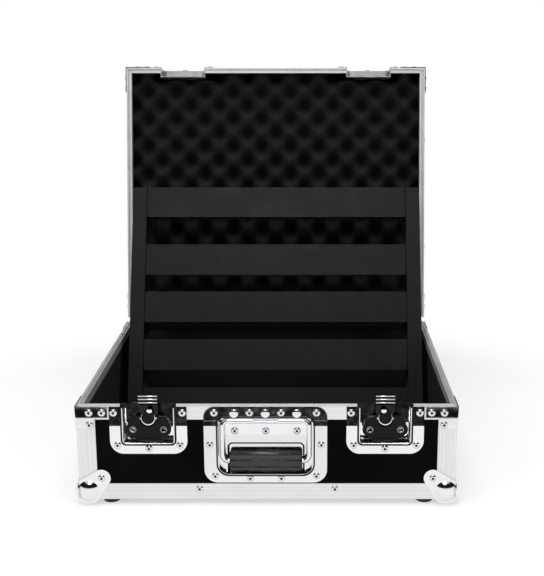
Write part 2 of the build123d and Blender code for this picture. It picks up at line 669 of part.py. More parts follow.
with BuildPart() as lid_top:
    with BuildSketch(Plane.XY.offset(LID_TOP_IN)):
        Rectangle(2 * PANEL_X, 2 * PANEL_Y)
    extrude(amount=PLY)
write(swing_open(lid_top.part), "lid_top_panel")
keeper_cuts = [(x, LID_RIM_Z, KEEPER_POCKET_Z + SHEET, LATCH_CUT_W) for x in (-LATCH_X, LATCH_X)]
write(swing_open(panel(FRONT, PANEL_Y, 2 * PANEL_X, LID_PANEL_RIM, LID_TOP_IN, keeper_cuts)),
      "lid_front_panel")
write(swing_open(panel(BACK, PANEL_Y, 2 * PANEL_X, LID_PANEL_RIM, LID_TOP_IN)), "lid_back_panel")
write(swing_open(panel(LEFT, PANEL_X, SIDE_LEN, LID_PANEL_RIM, LID_TOP_IN)), "lid_left_panel")
write(swing_open(panel(RIGHT, PANEL_X, SIDE_LEN, LID_PANEL_RIM, LID_TOP_IN)), "lid_right_panel")
write(swing_open(rim_profiles(LID_RIM_Z, -1, False)), "lid_rim_profiles")
write(swing_open(edge_angles(LID_TOP_Z, -1)), "lid_top_angles")
write(swing_open(corner_angles(LID_RIM_Z + RIM_FLANGE, LID_TOP_Z - BASE_LEG)), "lid_corner_angles")
write(swing_open(ball_corners(LID_TOP_Z, -1)), "lid_ball_corners")
write(swing_open(rim_brackets(LID_RIM_Z, -1)), "lid_rim_brackets")

for keeper_side, keeper_x in (("left", -LATCH_X), ("right", LATCH_X)):
    with BuildPart() as keeper:
        add(dish(keeper_x, (LID_RIM_Z, LID_RIM_Z + KEEPER_PLATE_H, LATCH_W), (0, LATCH_CORNER),
                 (LID_RIM_Z - KEEPER_POCKET_H, KEEPER_POCKET_Z, LATCH_POCKET_W),
                 (POCKET_CORNER, POCKET_CORNER), LID_RIM_Z, -1))
        with Locations((keeper_x, -FLOOR_Y, HOOK_CATCH_Z)):
            Box(KEEPER_W, KEEPER_REACH, KEEPER_T, align=(Align.CENTER, Align.MAX, Align.MAX))
    write(swing_open(keeper.part), f"{keeper_side}_keeper_dish")

# ---------------------------------------------------------------- slatted board
LEAN = radians(BOARD_LEAN)
TAPER = atan((BOARD_BACK_T - BOARD_FRONT_T) / BOARD_L)
NOSE_Z = FLOOR_TOP_Z + RUN_GAP + BOARD_FRONT_T * sin(LEAN)
BOARD_PLANE = Plane(origin=(BOARD_X, BOARD_NOSE_Y, NOSE_Z), x_dir=(1, 0, 0), z_dir=(0, -cos(LEAN), sin(LEAN)))
BACK_FOOT_S = BOARD_L - BOARD_BACK_T * sin(TAPER) - BOARD_FOOT_IN


def side_plane(x):
    """The plane of a rail's side: its x runs up the board, its y out of the face."""
    place = BOARD_PLANE.from_local_coords((x, 0, 0))
    return Plane(origin=place, x_dir=BOARD_PLANE.y_dir, z_dir=BOARD_PLANE.x_dir)


def under(s):
    """Depth of the board's underside below its face, at a distance up the board."""
    return BOARD_FRONT_T + s * (BOARD_BACK_T - BOARD_FRONT_T) / BOARD_L


def rail(x_low, open_side):
    """A box rail, tapered in depth, open towards the middle of the board."""
    top_s = BOARD_L - BOARD_BACK_T * sin(TAPER) * cos(TAPER)
    with BuildPart() as beam:
        with BuildSketch(side_plane(x_low)):
            with BuildLine():
                Polyline((0, 0), (BOARD_L, 0), (top_s, -under(top_s)), (0, -under(0)), (0, 0))
            make_face()
        extrude(amount=RAIL_W)
        with BuildSketch(side_plane(x_low + (RAIL_T if open_side > 0 else 0))):
            with BuildLine():
                Polyline((RAIL_T, -RAIL_T), (BOARD_L - 2 * RAIL_T, -RAIL_T),
                         (top_s - 2 * RAIL_T, RAIL_T - under(top_s)), (RAIL_T, RAIL_T - under(0)),
                         (RAIL_T, -RAIL_T))
            make_face()
        extrude(amount=RAIL_W - RAIL_T, mode=Mode.SUBTRACT)
    return beam.part


write(rail(-BOARD_W / 2, 1), "left_side_rail")
write(rail(BOARD_W / 2 - RAIL_W, -1), "right_side_rail")

SLAT_LEN = BOARD_W - 2 * (RAIL_W + SLAT_END_GAP)
SLAT_LOWS = [sum(SLAT_GAPS[:place]) + place * SLAT_W for place in range(len(SLAT_GAPS) + 1)]
for number, low in zip(range(len(SLAT_LOWS), 0, -1), SLAT_LOWS):
    with BuildPart() as slat:
        with BuildSketch(side_plane(-SLAT_LEN / 2)):
            with Locations((low + SLAT_W / 2, 0)):
                Rectangle(SLAT_W, SLAT_FLANGE, align=(Align.CENTER, Align.MAX))
                with Locations((0, -SLAT_T)):
                    Rectangle(SLAT_W - 2 * SLAT_T, SLAT_FLANGE, align=(Align.CENTER, Align.MAX),
                              mode=Mode.SUBTRACT)
        extrude(amount=SLAT_LEN)
        with BuildSketch(side_plane(-SLAT_LEN / 2 - TAB_L)):
            with Locations((low + SLAT_W / 2, -SLAT_T)):
                Rectangle(TAB_W, SLAT_T, align=(Align.CENTER, Align.MAX))
        extrude(amount=SLAT_LEN + 2 * TAB_L)
    write(slat.part, f"board_slat_{number}")

with BuildPart() as pads:
    for height, s in ((BOARD_FRONT_FOOT, BOARD_FOOT_IN), (BOARD_BACK_FOOT, BACK_FOOT_S)):
        for x in (-(BOARD_W - RAIL_W) / 2, (BOARD_W - RAIL_W) / 2):
            at = side_plane(x)
            sole = Plane(origin=at.from_local_coords((s, -under(s), 0)), x_dir=at.z_dir,
                         z_dir=at.from_local_coords((s - sin(TAPER), -under(s) - cos(TAPER), 0))
                         - at.from_local_coords((s, -under(s), 0)))
            with Locations(sole.location):
                Cylinder(BOARD_FOOT_R, height, align=(Align.CENTER, Align.CENTER, Align.MIN))
write(pads.part, "board_feet")


# ---------------------------------------------------------------- lid foam
def lid_depth(point):
    """How far a point of the open case lies beyond the lid's rim plane."""
    return (point.Y - HINGE_Y) * sin(radians(OPEN_ANGLE)) + (point.Z - RIM_Z) * cos(radians(OPEN_ANGLE))


def sole_point(s, height, along):
    """A point of a board foot's sole, along the underside from the foot's middle."""
    return side_plane(0).from_local_coords((s - height * sin(TAPER) + along * cos(TAPER),
                                            -under(s) - height * cos(TAPER) - along * sin(TAPER), 0))


# The leaning board's back feet touch the crests of the foam
FOAM_FACE_Z = RIM_Z + SOFT_GAP + max(
    lid_depth(sole_point(BACK_FOOT_S, BOARD_BACK_FOOT, side * BOARD_FOOT_R)) for side in (-1, 1))
with BuildPart() as foam:
    with BuildSketch(Plane.XY.offset(FOAM_FACE_Z)):
        Rectangle(2 * (PANEL_X - PLY - FOAM_EDGE), 2 * (PANEL_Y - PLY - FOAM_EDGE))
    extrude(amount=LID_TOP_IN - FOAM_FACE_Z)
    for x in (-LATCH_X, LATCH_X):
        with Locations((x, -HALF_D, FOAM_FACE_Z)):
            Box(LATCH_CUT_W + 2 * FOAM_EDGE, 2 * (HALF_D - FLOOR_Y + SHEET + FOAM_EDGE),
                2 * (KEEPER_POCKET_Z + SHEET + FOAM_EDGE - FOAM_FACE_Z), mode=Mode.SUBTRACT)
write(swing_open(foam.part), "lid_foam")

# ---------------------------------------------------------------- rivets
def group(places):
    """One node of loose rivet heads. places holds (wall plane, distance out, [(u, v), ...])."""
    return Compound([wall.offset(out) * Location((u, v, 0)) * RIVET
                     for wall, out, points in places for u, v in points])


def shell_places(z_rim, z_edge, up):
    """Rivet places that tray and lid share, for each wall."""
    places = []
    for wall, out, half in WALLS:
        places.append((wall, out + PLATE, split_x([
            (half - BRACKET_W + RIVET_EDGE - SKIN, z_rim - up * RIVET_EDGE),
            (half - CORNER_LEG + RIVET_EDGE - SKIN, z_rim - up * RIVET_EDGE),
            (half - CORNER_LEG + RIVET_EDGE - SKIN, z_rim - up * (BRACKET_LEG_H - RIVET_R)),
            (half - LOBE_OUT, z_edge + up * LOBE_OUT)])))
    for wall, out, half in WALLS[:2]:
        places.append((wall, out, split_x([(half - BASE_RIVET_IN, z_edge + up * BASE_RIVET_UP)])))
    for wall, out, half in WALLS[2:]:
        places.append((wall, out, split_x([(half - SIDE_RIVET_IN, z_edge + up * BASE_RIVET_UP),
                                           (half - SIDE_RIVET_IN, z_rim - up * RIM_FLANGE / 2)])))
    return places


LATCH_TOP_X = (LATCH_W + LATCH_POCKET_W) / 4 + LATCH_RIVET_OUT
LATCH_LOW_X = LATCH_POCKET_W / 2 + RIVET_R + RUN_GAP
latch_places = []
keeper_places = []
for x in (-LATCH_X, LATCH_X):
    tops = [(x + side * LATCH_TOP_X, RIM_Z - RIVET_EDGE) for side in (-1, 1)]
    lows = [(x + side * LATCH_LOW_X, LATCH_POCKET_Z - 2 * RUN_GAP) for side in (-1, 1)]
    lows.append((x, LATCH_POCKET_Z - RIVET_R - RUN_GAP))
    lobes = [(x + side * LOBE_X, CAM_Z - LOBE_DROP) for side in (-1, 1)]
    latch_places += [(FRONT, HALF_D + SHEET, tops), (FRONT, HALF_D, lows),
                     (FRONT, FLOOR_Y + BASE_PLATE_T, lobes)]
    tops = [(u, LID_RIM_Z + RIVET_EDGE) for u, v in tops]
    highs = [(u, KEEPER_POCKET_Z + LATCH_POCKET_Z - v) for u, v in lows]
    keeper_places += [(FRONT, HALF_D + SHEET, tops), (FRONT, HALF_D, highs)]
write(group(shell_places(RIM_Z, BASE_Z, 1)), "tray_rivets")
write(group(latch_places), "latch_rivets")
write(swing_open(group(shell_places(LID_RIM_Z, LID_TOP_Z, -1))), "lid_rivets")
write(swing_open(group(keeper_places)), "keeper_rivets")

HANDLE_RIVET_X = HANDLE_W / 2 - HANDLE_RIVET_IN
handle_low = HANDLE_POCKET_Z - RIVET_R - 2 * RUN_GAP
write(group([
    (FRONT, HALF_D + SHEET, [(HANDLE_X + side * u, RIM_Z - RIVET_EDGE)
                             for u in (HANDLE_RIVET_X, HANDLE_MID_X) for side in (-1, 1)]),
    (FRONT, HALF_D, [(HANDLE_X + side * u, v) for side in (-1, 1) for u, v in (
        (HANDLE_RIVET_X, handle_low + HANDLE_RIVET_RISE), (HANDLE_MID_X, handle_low),
        ((HANDLE_W + HANDLE_CUT_W) / 4 + HANDLE_SIDE_RIVET_OUT, RIM_Z - HANDLE_H / 2))]),
    (FRONT, FLOOR_Y + COVER_T, [(HANDLE_X + u, AXLE_Z - COVER_TAIL + 2 * RUN_GAP)
                                for u in (-2 * HANDLE_MID_X, 0, 2 * HANDLE_MID_X)]),
]), "handle_rivets")

leaf_points = [(x + side * LEAF_W / 4, v) for x in (-HINGE_X, HINGE_X) for side in (-1, 1)
               for v in LEAF_RIVETS]
write(group([(BACK, HALF_D + LEAF_T, [(u, RIM_Z - v) for u, v in leaf_points])]), "hinge_tray_rivets")
write(swing_open(group([(BACK, HALF_D + LEAF_T, [(u, LID_RIM_Z + v) for u, v in leaf_points])])),
      "hinge_lid_rivets")
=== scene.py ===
"""Dresses the open guitar pedal case: finishes, egg-crate foam, pressed fittings and the studio."""
from __future__ import annotations

import json
import logging
import math
from collections.abc import Iterable, Sequence
from dataclasses import dataclass
from enum import Enum

import bmesh
import bpy
from mathutils import Matrix, Vector

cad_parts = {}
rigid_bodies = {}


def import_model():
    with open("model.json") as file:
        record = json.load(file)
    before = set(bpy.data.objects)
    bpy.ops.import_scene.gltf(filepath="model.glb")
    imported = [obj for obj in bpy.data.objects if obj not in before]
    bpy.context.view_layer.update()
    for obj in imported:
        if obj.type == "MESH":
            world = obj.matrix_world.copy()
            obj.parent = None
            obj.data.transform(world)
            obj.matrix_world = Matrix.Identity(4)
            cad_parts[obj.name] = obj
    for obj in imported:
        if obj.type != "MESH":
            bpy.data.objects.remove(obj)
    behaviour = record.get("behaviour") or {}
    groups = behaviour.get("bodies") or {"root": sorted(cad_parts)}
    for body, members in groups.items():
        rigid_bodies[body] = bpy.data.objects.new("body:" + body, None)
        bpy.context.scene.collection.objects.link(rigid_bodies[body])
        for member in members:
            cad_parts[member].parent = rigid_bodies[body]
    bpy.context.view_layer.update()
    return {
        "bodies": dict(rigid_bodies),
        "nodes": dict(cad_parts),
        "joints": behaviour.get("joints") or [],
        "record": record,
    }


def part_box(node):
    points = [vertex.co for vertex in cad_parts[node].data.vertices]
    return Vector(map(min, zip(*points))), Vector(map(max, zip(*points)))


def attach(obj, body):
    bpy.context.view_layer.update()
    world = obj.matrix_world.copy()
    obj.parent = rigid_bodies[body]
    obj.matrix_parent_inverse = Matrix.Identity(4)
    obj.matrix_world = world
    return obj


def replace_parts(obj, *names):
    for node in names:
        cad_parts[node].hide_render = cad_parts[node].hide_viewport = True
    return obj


LOG = logging.getLogger("pedal_case")
MM = 0.001
TURN = 2 * math.pi
WHITE = (1.0, 1.0, 1.0, 1.0)
# Local Z points out of the front wall, local X to the right and local Y up
FACE_FRONT = Matrix(((1, 0, 0, 0), (0, 0, -1, 0), (0, 1, 0, 0), (0, 0, 0, 1)))
# Points nearer than this are one
WELD = 0.001 * MM
# Edges that bend more than this are sharp
CREASE_DEG = 35.0
# Between these lies nearly all of a noise texture
TROUGH, CREST = 0.35, 0.65

Tree = bpy.types.NodeTree
Node = bpy.types.Node
Socket = bpy.types.NodeSocket
Material = bpy.types.Material
Piece = bpy.types.Object
Mesh = bmesh.types.BMesh
Point = tuple[float, float]
Spot = tuple[float, float, float]


# ------------------------------------------------------------------ nodes
def linear(code: str) -> tuple[float, float, float, float]:
    """Turn an sRGB hex colour into linear light.

    Args:
        code: the colour as "#rrggbb".

    Returns:
        The linear red, green and blue, and an alpha of 1.
    """
    parts = [int(code[place:place + 2], 16) / 255 for place in (1, 3, 5)]
    light = [c / 12.92 if c <= 0.04045 else ((c + 0.055) / 1.055) ** 2.4 for c in parts]
    return (light[0], light[1], light[2], 1.0)


def add_node(tree: Tree, kind: str, inputs: dict[str | int, object] | Sequence[object] = (),
             **settings: object) -> Node:
    """Add one node to a tree.

    Args:
        tree: the tree that gets the node.
        kind: the node's type, such as "ShaderNodeBump".
        inputs: values, sockets or nodes for its inputs, in order or by name or place; a node stands
            for its first output.
        **settings: the node's own properties.

    Returns:
        The new node.
    """
    made = tree.nodes.new(kind)
    for name, value in settings.items():
        setattr(made, name, value)
    for key, value in inputs.items() if isinstance(inputs, dict) else enumerate(inputs):
        source = value.outputs[0] if isinstance(value, Node) else value
        if isinstance(source, Socket):
            tree.links.new(source, made.inputs[key])
        else:
            made.inputs[key].default_value = source
    return made


@dataclass
class Paint:
    """A material in the making: its nodes, its shader and the Object coordinates of its patterns."""

    material: Material
    tree: Tree
    shader: Node
    place: Socket

    def drift(self, size_mm: float, detail: float, low: float, high: float) -> Node:
        """Make clouds that drift between two values.

        Args:
            size_mm: how far apart the clouds lie.
            detail: how many finer clouds lie in each.
            low: the value in the troughs.
            high: the value on the crests.

        Returns:
            The node with that value.
        """
        noise = add_node(self.tree, "ShaderNodeTexNoise",
                         {"Vector": self.place, "Scale": 1 / (size_mm * MM), "Detail": detail})
        return add_node(self.tree, "ShaderNodeMapRange",
                        {"Value": noise, "From Min": TROUGH, "From Max": CREST, "To Min": low, "To Max": high})

    def haze(self, size_mm: float, detail: float, less: float, more: float) -> None:
        """Let the roughness drift about its value.

        Args:
            size_mm: how far apart the hazy clouds lie.
            detail: how many finer clouds lie in each.
            less: how far the roughness falls.
            more: how far it rises.
        """
        rough = self.shader.inputs["Roughness"]
        middle = rough.default_value
        clouds = self.drift(size_mm, detail, middle - less, middle + more)
        self.tree.links.new(clouds.outputs["Result"], rough)

    def mottle(self, size_mm: float, detail: float, other: str, low: float = 0.0, high: float = 1.0) -> None:
        """Let the colour drift towards another.

        Args:
            size_mm: how far apart the clouds of the other colour lie.
            detail: how many finer clouds lie in each.
            other: the other colour.
            low: its share in the troughs.
            high: its share on the crests.
        """
        self.stain(self.drift(size_mm, detail, low, high), other)

    def stain(self, share: Node | Socket, other: str) -> None:
        """Mix the colour so far with another.

        Args:
            share: how much of the other colour shows, from 0 to 1.
            other: the other colour.
        """
        colour = self.shader.inputs["Base Color"]
        so_far = colour.links[0].from_socket if colour.is_linked else tuple(colour.default_value)
        mixed = add_node(self.tree, "ShaderNodeMix", {0: share, 6: so_far, 7: linear(other)}, data_type="RGBA")
        self.tree.links.new(mixed.outputs[2], colour)

    def peel(self, size_mm: float, depth_mm: float, detail: float = 2.0) -> None:
        """Raise a soft unevenness, such as orange peel or a press's ripple.

        Args:
            size_mm: how far apart its swells lie.
            depth_mm: how deep it is.
            detail: how many finer swells lie in each.
        """
        noise = add_node(self.tree, "ShaderNodeTexNoise",
                         {"Vector": self.place, "Scale": 1 / (size_mm * MM), "Detail": detail})
        self.relief(noise, depth_mm)

    def relief(self, height: Node | Socket, depth_mm: float) -> None:
        """Raise the surface, on top of what it has so far.

        Args:
            height: the relief, 0 to 1.
            depth_mm: how deep it is.
        """
        normal = self.shader.inputs["Normal"]
        inputs = {"Height": height, "Distance": depth_mm * MM, "Strength": 1.0}
        if normal.is_linked:
            inputs["Normal"] = normal.links[0].from_socket
        made = add_node(self.tree, "ShaderNodeBump", inputs)
        self.tree.links.new(made.outputs["Normal"], normal)


# ------------------------------------------------------------------ finishes
class Line(Enum):
    """Which way an extrusion's die lines run."""

    ROUND_THE_FRAME = "round the frame"
    UPRIGHT = "upright"


@dataclass(frozen=True)
class Finish:
    """What every finish has: a name, a colour and how it takes the light."""

    name: str
    colour: str
    roughness: float
    metallic: float = 0.0

    def start(self, gloss: float = 0.5) -> Paint:
        """Make the plain material that a finish builds on.

        Args:
            gloss: the shader's specular level, where 0.5 is the default IOR's.

        Returns:
            The material in the making.
        """
        material = bpy.data.materials.new(self.name)
        material.use_nodes = True
        tree = material.node_tree
        shader = tree.nodes["Principled BSDF"]
        for name, value in (("Base Color", linear(self.colour)), ("Roughness", self.roughness),
                            ("Metallic", self.metallic), ("Specular IOR Level", gloss)):
            shader.inputs[name].default_value = value
        return Paint(material, tree, shader, add_node(tree, "ShaderNodeTexCoord").outputs["Object"])


@dataclass(frozen=True)
class Laminate(Finish):
    """High-pressure laminate pressed on birch ply: near black, low gloss, with a fine orange peel."""

    colour: str = "#040405"
    roughness: float = 0.4
    gloss: float = 0.02
    haze: str = "#080809"
    haze_mm: float = 60.0
    grain_mm: float = 1.6
    peel_mm: float = 0.05
    # Painted sheen: a lighter colour on the faces that look into the tray
    painted_inner_sheen: str = ""
    facing_in: float = -0.01

    def inside(self, paint: Paint) -> Node:
        """Tell the faces that look at the tray's middle, which get the painted sheen, from the others.

        Args:
            paint: the material in the making.

        Returns:
            A node that gives 1 there and 0 elsewhere.
        """
        coords = add_node(paint.tree, "ShaderNodeTexCoord").outputs
        flat = [add_node(paint.tree, "ShaderNodeVectorMath", [coords[name], (1, 1, 0)], operation="MULTIPLY")
                for name in ("Normal", "Object")]
        facing = add_node(paint.tree, "ShaderNodeVectorMath", flat, operation="DOT_PRODUCT").outputs["Value"]
        return add_node(paint.tree, "ShaderNodeMath", [facing, self.facing_in], operation="LESS_THAN")

    def build(self) -> Material:
        """Make the laminate with its peel, its faint cloudy haze and any painted sheen on its inner faces.

        Returns:
            The material.
        """
        paint = self.start(self.gloss)
        paint.mottle(self.haze_mm, 4.0, self.haze)
        # Paint the sheen on the inner faces
        if self.painted_inner_sheen:
            paint.stain(self.inside(paint), self.painted_inner_sheen)
        paint.haze(self.haze_mm, 4.0, less=0.05, more=0.07)
        paint.peel(self.grain_mm, self.peel_mm)
        return paint.material


@dataclass(frozen=True)
class Extrusion(Finish):
    """Mill-finish aluminium, extruded: a soft silver gloss drawn out by die lines along its length."""

    colour: str = "#e8e8ea"
    roughness: float = 0.42
    metallic: float = 0.7
    line: Line = Line.ROUND_THE_FRAME
    half_width: float = 0.0
    half_depth: float = 0.0
    hinge: Spot = (0.0, 0.0, 0.0)
    turned: float = 0.0
    line_mm: float = 1.1
    line_depth_mm: float = 0.012
    dark: str = "#cfcfd2"
    handling_mm: float = 25.0

    def across(self, paint: Paint) -> Node:
        """Measure a length that changes across the die lines and is steady along them.

        Args:
            paint: the material in the making.

        Returns:
            A node that gives the length in metres.
        """
        tree = paint.tree
        centred = add_node(tree, "ShaderNodeVectorMath", [paint.place, self.hinge], operation="SUBTRACT")
        shut = add_node(tree, "ShaderNodeVectorRotate",
                        {"Vector": centred, "Angle": self.turned, "Axis": (1.0, 0.0, 0.0)},
                        rotation_type="AXIS_ANGLE")
        back = add_node(tree, "ShaderNodeVectorMath", [shut, self.hinge], operation="ADD")
        sizes = add_node(tree, "ShaderNodeVectorMath", [back], operation="ABSOLUTE")
        x, y, z = add_node(tree, "ShaderNodeSeparateXYZ", [sizes]).outputs
        if self.line is Line.UPRIGHT:
            return add_node(tree, "ShaderNodeMath", [x, y], operation="ADD")
        insets = [add_node(tree, "ShaderNodeMath", [half, axis], operation="SUBTRACT")
                  for half, axis in ((self.half_width, x), (self.half_depth, y))]
        inset = add_node(tree, "ShaderNodeMath", insets, operation="MINIMUM")
        return add_node(tree, "ShaderNodeMath", [inset, z], operation="ADD")

    def build(self) -> Material:
        """Make the aluminium with its die lines and the haze that handling leaves.

        Returns:
            The material.
        """
        paint = self.start()
        lines = add_node(paint.tree, "ShaderNodeTexNoise",
                         {"W": self.across(paint), "Scale": 1 / (self.line_mm * MM), "Detail": 3.0},
                         noise_dimensions="1D")
        share = add_node(paint.tree, "ShaderNodeMapRange",
                         {"Value": lines, "From Min": TROUGH, "From Max": CREST})
        paint.stain(share, self.dark)
        paint.haze(self.handling_mm, 4.0, less=0.06, more=0.08)
        paint.relief(lines, self.line_depth_mm)
        return paint.material


@dataclass(frozen=True)
class Plated(Finish):
    """Pressed steel with nickel and chrome plate: a near mirror, with a little haze and ripple."""

    colour: str = "#e6e6e8"
    roughness: float = 0.07
    metallic: float = 1.0
    haze: float = 0.06
    smudge_mm: float = 9.0
    ripple_mm: float = 18.0
    ripple_depth_mm: float = 0.05
    roll_from: float | None = None
    roll_deg: float = 18.0
    roll_power: float = 1.0
    roll_width: float = 27.0 * MM
    lean_deg: float = 0.0

    def build(self) -> Material:
        """Make the plate with its haze and the press's ripple.

        Returns:
            The material.
        """
        paint = self.start()
        paint.haze(self.smudge_mm, 4.0, less=0.0, more=self.haze)
        paint.peel(self.ripple_mm, self.ripple_depth_mm, detail=1.0)
        if self.roll_from is not None:
            self.roll(paint)
        return paint.material

    def roll(self, paint: Paint) -> None:
        """Lean the plate back where it rolls over the rim, so that it mirrors the air above.

        Args:
            paint: the material in the making.
        """
        tree = paint.tree
        up = add_node(tree, "ShaderNodeSeparateXYZ", [paint.place]).outputs["Z"]
        above = add_node(tree, "ShaderNodeMath", [up, self.roll_from], operation="SUBTRACT")
        past = add_node(tree, "ShaderNodeMath", [above, 0.0], operation="MAXIMUM")
        bent = add_node(tree, "ShaderNodeMath", [past, self.roll_power], operation="POWER")
        steep = -math.tan(math.radians(self.roll_deg)) / self.roll_width ** (self.roll_power - 1)
        lean = -math.tan(math.radians(self.lean_deg))
        leaning = add_node(tree, "ShaderNodeMath", [up, lean], operation="MULTIPLY")
        rise = add_node(tree, "ShaderNodeMath", [bent, steep, leaning], operation="MULTIPLY_ADD")
        paint.relief(rise, 1 / MM)


@dataclass(frozen=True)
class RivetSteel(Finish):
    """Nickel-plated steel rivets: bright flanges round the hole that the mandrel leaves, with painted shade in
    it.
    """

    colour: str = "#d8d8da"
    roughness: float = 0.16
    metallic: float = 1.0
    # The painted shade in the dimple
    hole: str = "#101011"
    smudge_mm: float = 2.0

    def build(self) -> Material:
        """Make the plate, with painted shade inside the dimple.

        Returns:
            The material.
        """
        paint = self.start()
        dimple = add_node(paint.tree, "ShaderNodeAttribute", attribute_name="dimple").outputs["Fac"]
        # Paint shade where the dimple is marked
        paint.stain(dimple, self.hole)
        paint.haze(self.smudge_mm, 2.0, less=0.05, more=0.08)
        return paint.material


@dataclass(frozen=True)
class PowderCoat(Finish):
    """Satin black polyester powder coat on aluminium: even, with a soft orange peel."""

    colour: str = "#161617"
    roughness: float = 0.42
    gloss: float = 0.1
    worn: str = "#1c1c1d"
    worn_mm: float = 35.0
    peel_size_mm: float = 1.4
    peel_mm: float = 0.03

    def build(self) -> Material:
        """Make the coat with its peel and lightly rubbed places.

        Returns:
            The material.
        """
        paint = self.start(self.gloss)
        paint.mottle(self.worn_mm, 5.0, self.worn, low=-0.6, high=0.6)
        paint.haze(self.worn_mm, 5.0, less=0.06, more=0.06)
        paint.peel(self.peel_size_mm, self.peel_mm)
        return paint.material


@dataclass(frozen=True)
class MouldedRubber(Finish):
    """Moulded rubber or PVC: dull black, with the fine texture of a spark-eroded mould."""

    colour: str = "#0d0d0e"
    roughness: float = 0.6
    bloom_mm: float = 12.0
    grain_mm: float = 0.9
    grain_depth_mm: float = 0.06

    def build(self) -> Material:
        """Make the rubber with its bloom and its mould texture.

        Returns:
            The material.
        """
        paint = self.start()
        paint.haze(self.bloom_mm, 3.0, less=0.08, more=0.08)
        paint.peel(self.grain_mm, self.grain_depth_mm)
        return paint.material


@dataclass(frozen=True)
class OpenCellFoam(Finish):
    """Open-cell polyurethane foam, dyed black: no gloss, with painted shade in its pits, and full of open
    pores.
    """

    colour: str = "#191919"
    roughness: float = 0.95
    gloss: float = 0.1
    lit: str = "#1f1f20"
    # Painted shade, mixed in down the pits
    pit: str = "#090909"
    pore_mm: float = 1.5
    pore_depth_mm: float = 0.7

    def build(self) -> Material:
        """Make the foam with painted shade in its pits; its pores are drawn coarser than real so that they
        show.

        Returns:
            The material.
        """
        paint = self.start(self.gloss)
        paint.mottle(2 * self.pore_mm, 3.0, self.lit)
        # Painted shade in the pits, by how far down each point lies
        paint.stain(add_node(paint.tree, "ShaderNodeAttribute", attribute_name="pit").outputs["Fac"], self.pit)
        pores = add_node(paint.tree, "ShaderNodeTexVoronoi",
                         {"Vector": paint.place, "Scale": 1 / (self.pore_mm * MM)})
        paint.relief(pores, self.pore_depth_mm)
        return paint.material


# ------------------------------------------------------------------ meshes
def put(piece: Piece, material: Material) -> None:
    """Make a material the piece's only one."""
    piece.data.materials.clear()
    piece.data.materials.append(material)


def as_object(name: str, mesh: Mesh) -> Piece:
    """Turn a bmesh, which is used up, into an object of the scene.

    Args:
        name: the object's name.
        mesh: its faces or points.

    Returns:
        The object, at the origin and unturned.
    """
    data = bpy.data.meshes.new(name)
    mesh.to_mesh(data)
    mesh.free()
    made = bpy.data.objects.new(name, data)
    bpy.context.collection.objects.link(made)
    return made


def new_piece(name: str, mesh: Mesh, material: Material, body: str, place: Matrix | None = None,
              smooth_deg: float = CREASE_DEG) -> Piece:
    """Turn a bmesh into a finished piece on a body.

    Args:
        name: the piece's name.
        mesh: its faces, which are used up.
        material: its only material.
        body: the CAD body that it rides on.
        place: where the mesh goes, baked into its points.
        smooth_deg: edges sharper than this stay sharp.

    Returns:
        The new piece, at the origin and unturned.
    """
    bmesh.ops.remove_doubles(mesh, verts=mesh.verts, dist=WELD)
    bmesh.ops.recalc_face_normals(mesh, faces=mesh.faces)
    if place is not None:
        bmesh.ops.transform(mesh, matrix=place, verts=mesh.verts)
    made = as_object(name, mesh)
    made.data.shade_smooth()
    made.data.set_sharp_from_angle(angle=math.radians(smooth_deg))
    put(made, material)
    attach(made, body)
    LOG.info("%s: %d faces on %s", name, len(made.data.polygons), body)
    return made


def soften(piece: Piece, width: float) -> None:
    """Round a piece's sharp edges with a bevel.

    Args:
        piece: the piece.
        width: how wide the bevel is.
    """
    bevel = piece.modifiers.new("soft_edges", "BEVEL")
    bevel.width = width
    bevel.segments = 2
    bevel.limit_method = "ANGLE"
    bevel.angle_limit = math.radians(CREASE_DEG)
    bevel.harden_normals = True


def circle(x: float, y: float, radius: float, steps: int = 40) -> list[Point]:
    """Points round a circle."""
    turns = [TURN * k / steps for k in range(steps)]
    return [(x + radius * math.cos(turn), y + radius * math.sin(turn)) for turn in turns]


def hull(points: Iterable[Point]) -> list[Point]:
    """The convex outline round some points, anticlockwise.

    Args:
        points: the points to go round.

    Returns:
        The outline's corners in order.
    """
    ordered = sorted(set(points))
    chains: list[list[Point]] = []
    for run in (ordered, ordered[::-1]):
        chain: list[Point] = []
        for p in run:
            while len(chain) > 1 and ((chain[-1][0] - chain[-2][0]) * (p[1] - chain[-2][1])
                                      - (chain[-1][1] - chain[-2][1]) * (p[0] - chain[-2][0])) <= 0:
                chain.pop()
            chain.append(p)
        chains.append(chain[:-1])
    return chains[0] + chains[1]


def rounded(start: Point, corner: Point, end: Point, steps: int = 8) -> list[Point]:
    """Bend smoothly from one point to another in place of a corner.

    Args:
        start: where the bend begins, which isn't given back.
        corner: the corner that it cuts.
        end: where it ends.
        steps: how many points it has.

    Returns:
        The bend's points.
    """
    shares = [((1 - u) ** 2, 2 * u * (1 - u), u ** 2) for u in (k / steps for k in range(1, steps + 1))]
    return [(a * start[0] + b * corner[0] + c * end[0], a * start[1] + b * corner[1] + c * end[1])
            for a, b, c in shares]


def flat_sheet(loops: Sequence[Sequence[Point]], height: float = 0.0) -> Mesh:
    """Fill an outline and its holes with one flat sheet.

    Args:
        loops: the outline first, then its holes.
        height: where it lies on the local Z axis.

    Returns:
        The sheet, facing along Z.
    """
    mesh = bmesh.new()
    edges = []
    for loop in loops:
        corners = [mesh.verts.new((x, y, height)) for x, y in loop]
        edges += [mesh.edges.new(pair) for pair in zip(corners, corners[1:] + corners[:1])]
    bmesh.ops.triangle_fill(mesh, use_beauty=True, use_dissolve=False, edges=edges, normal=(0, 0, 1))
    return mesh


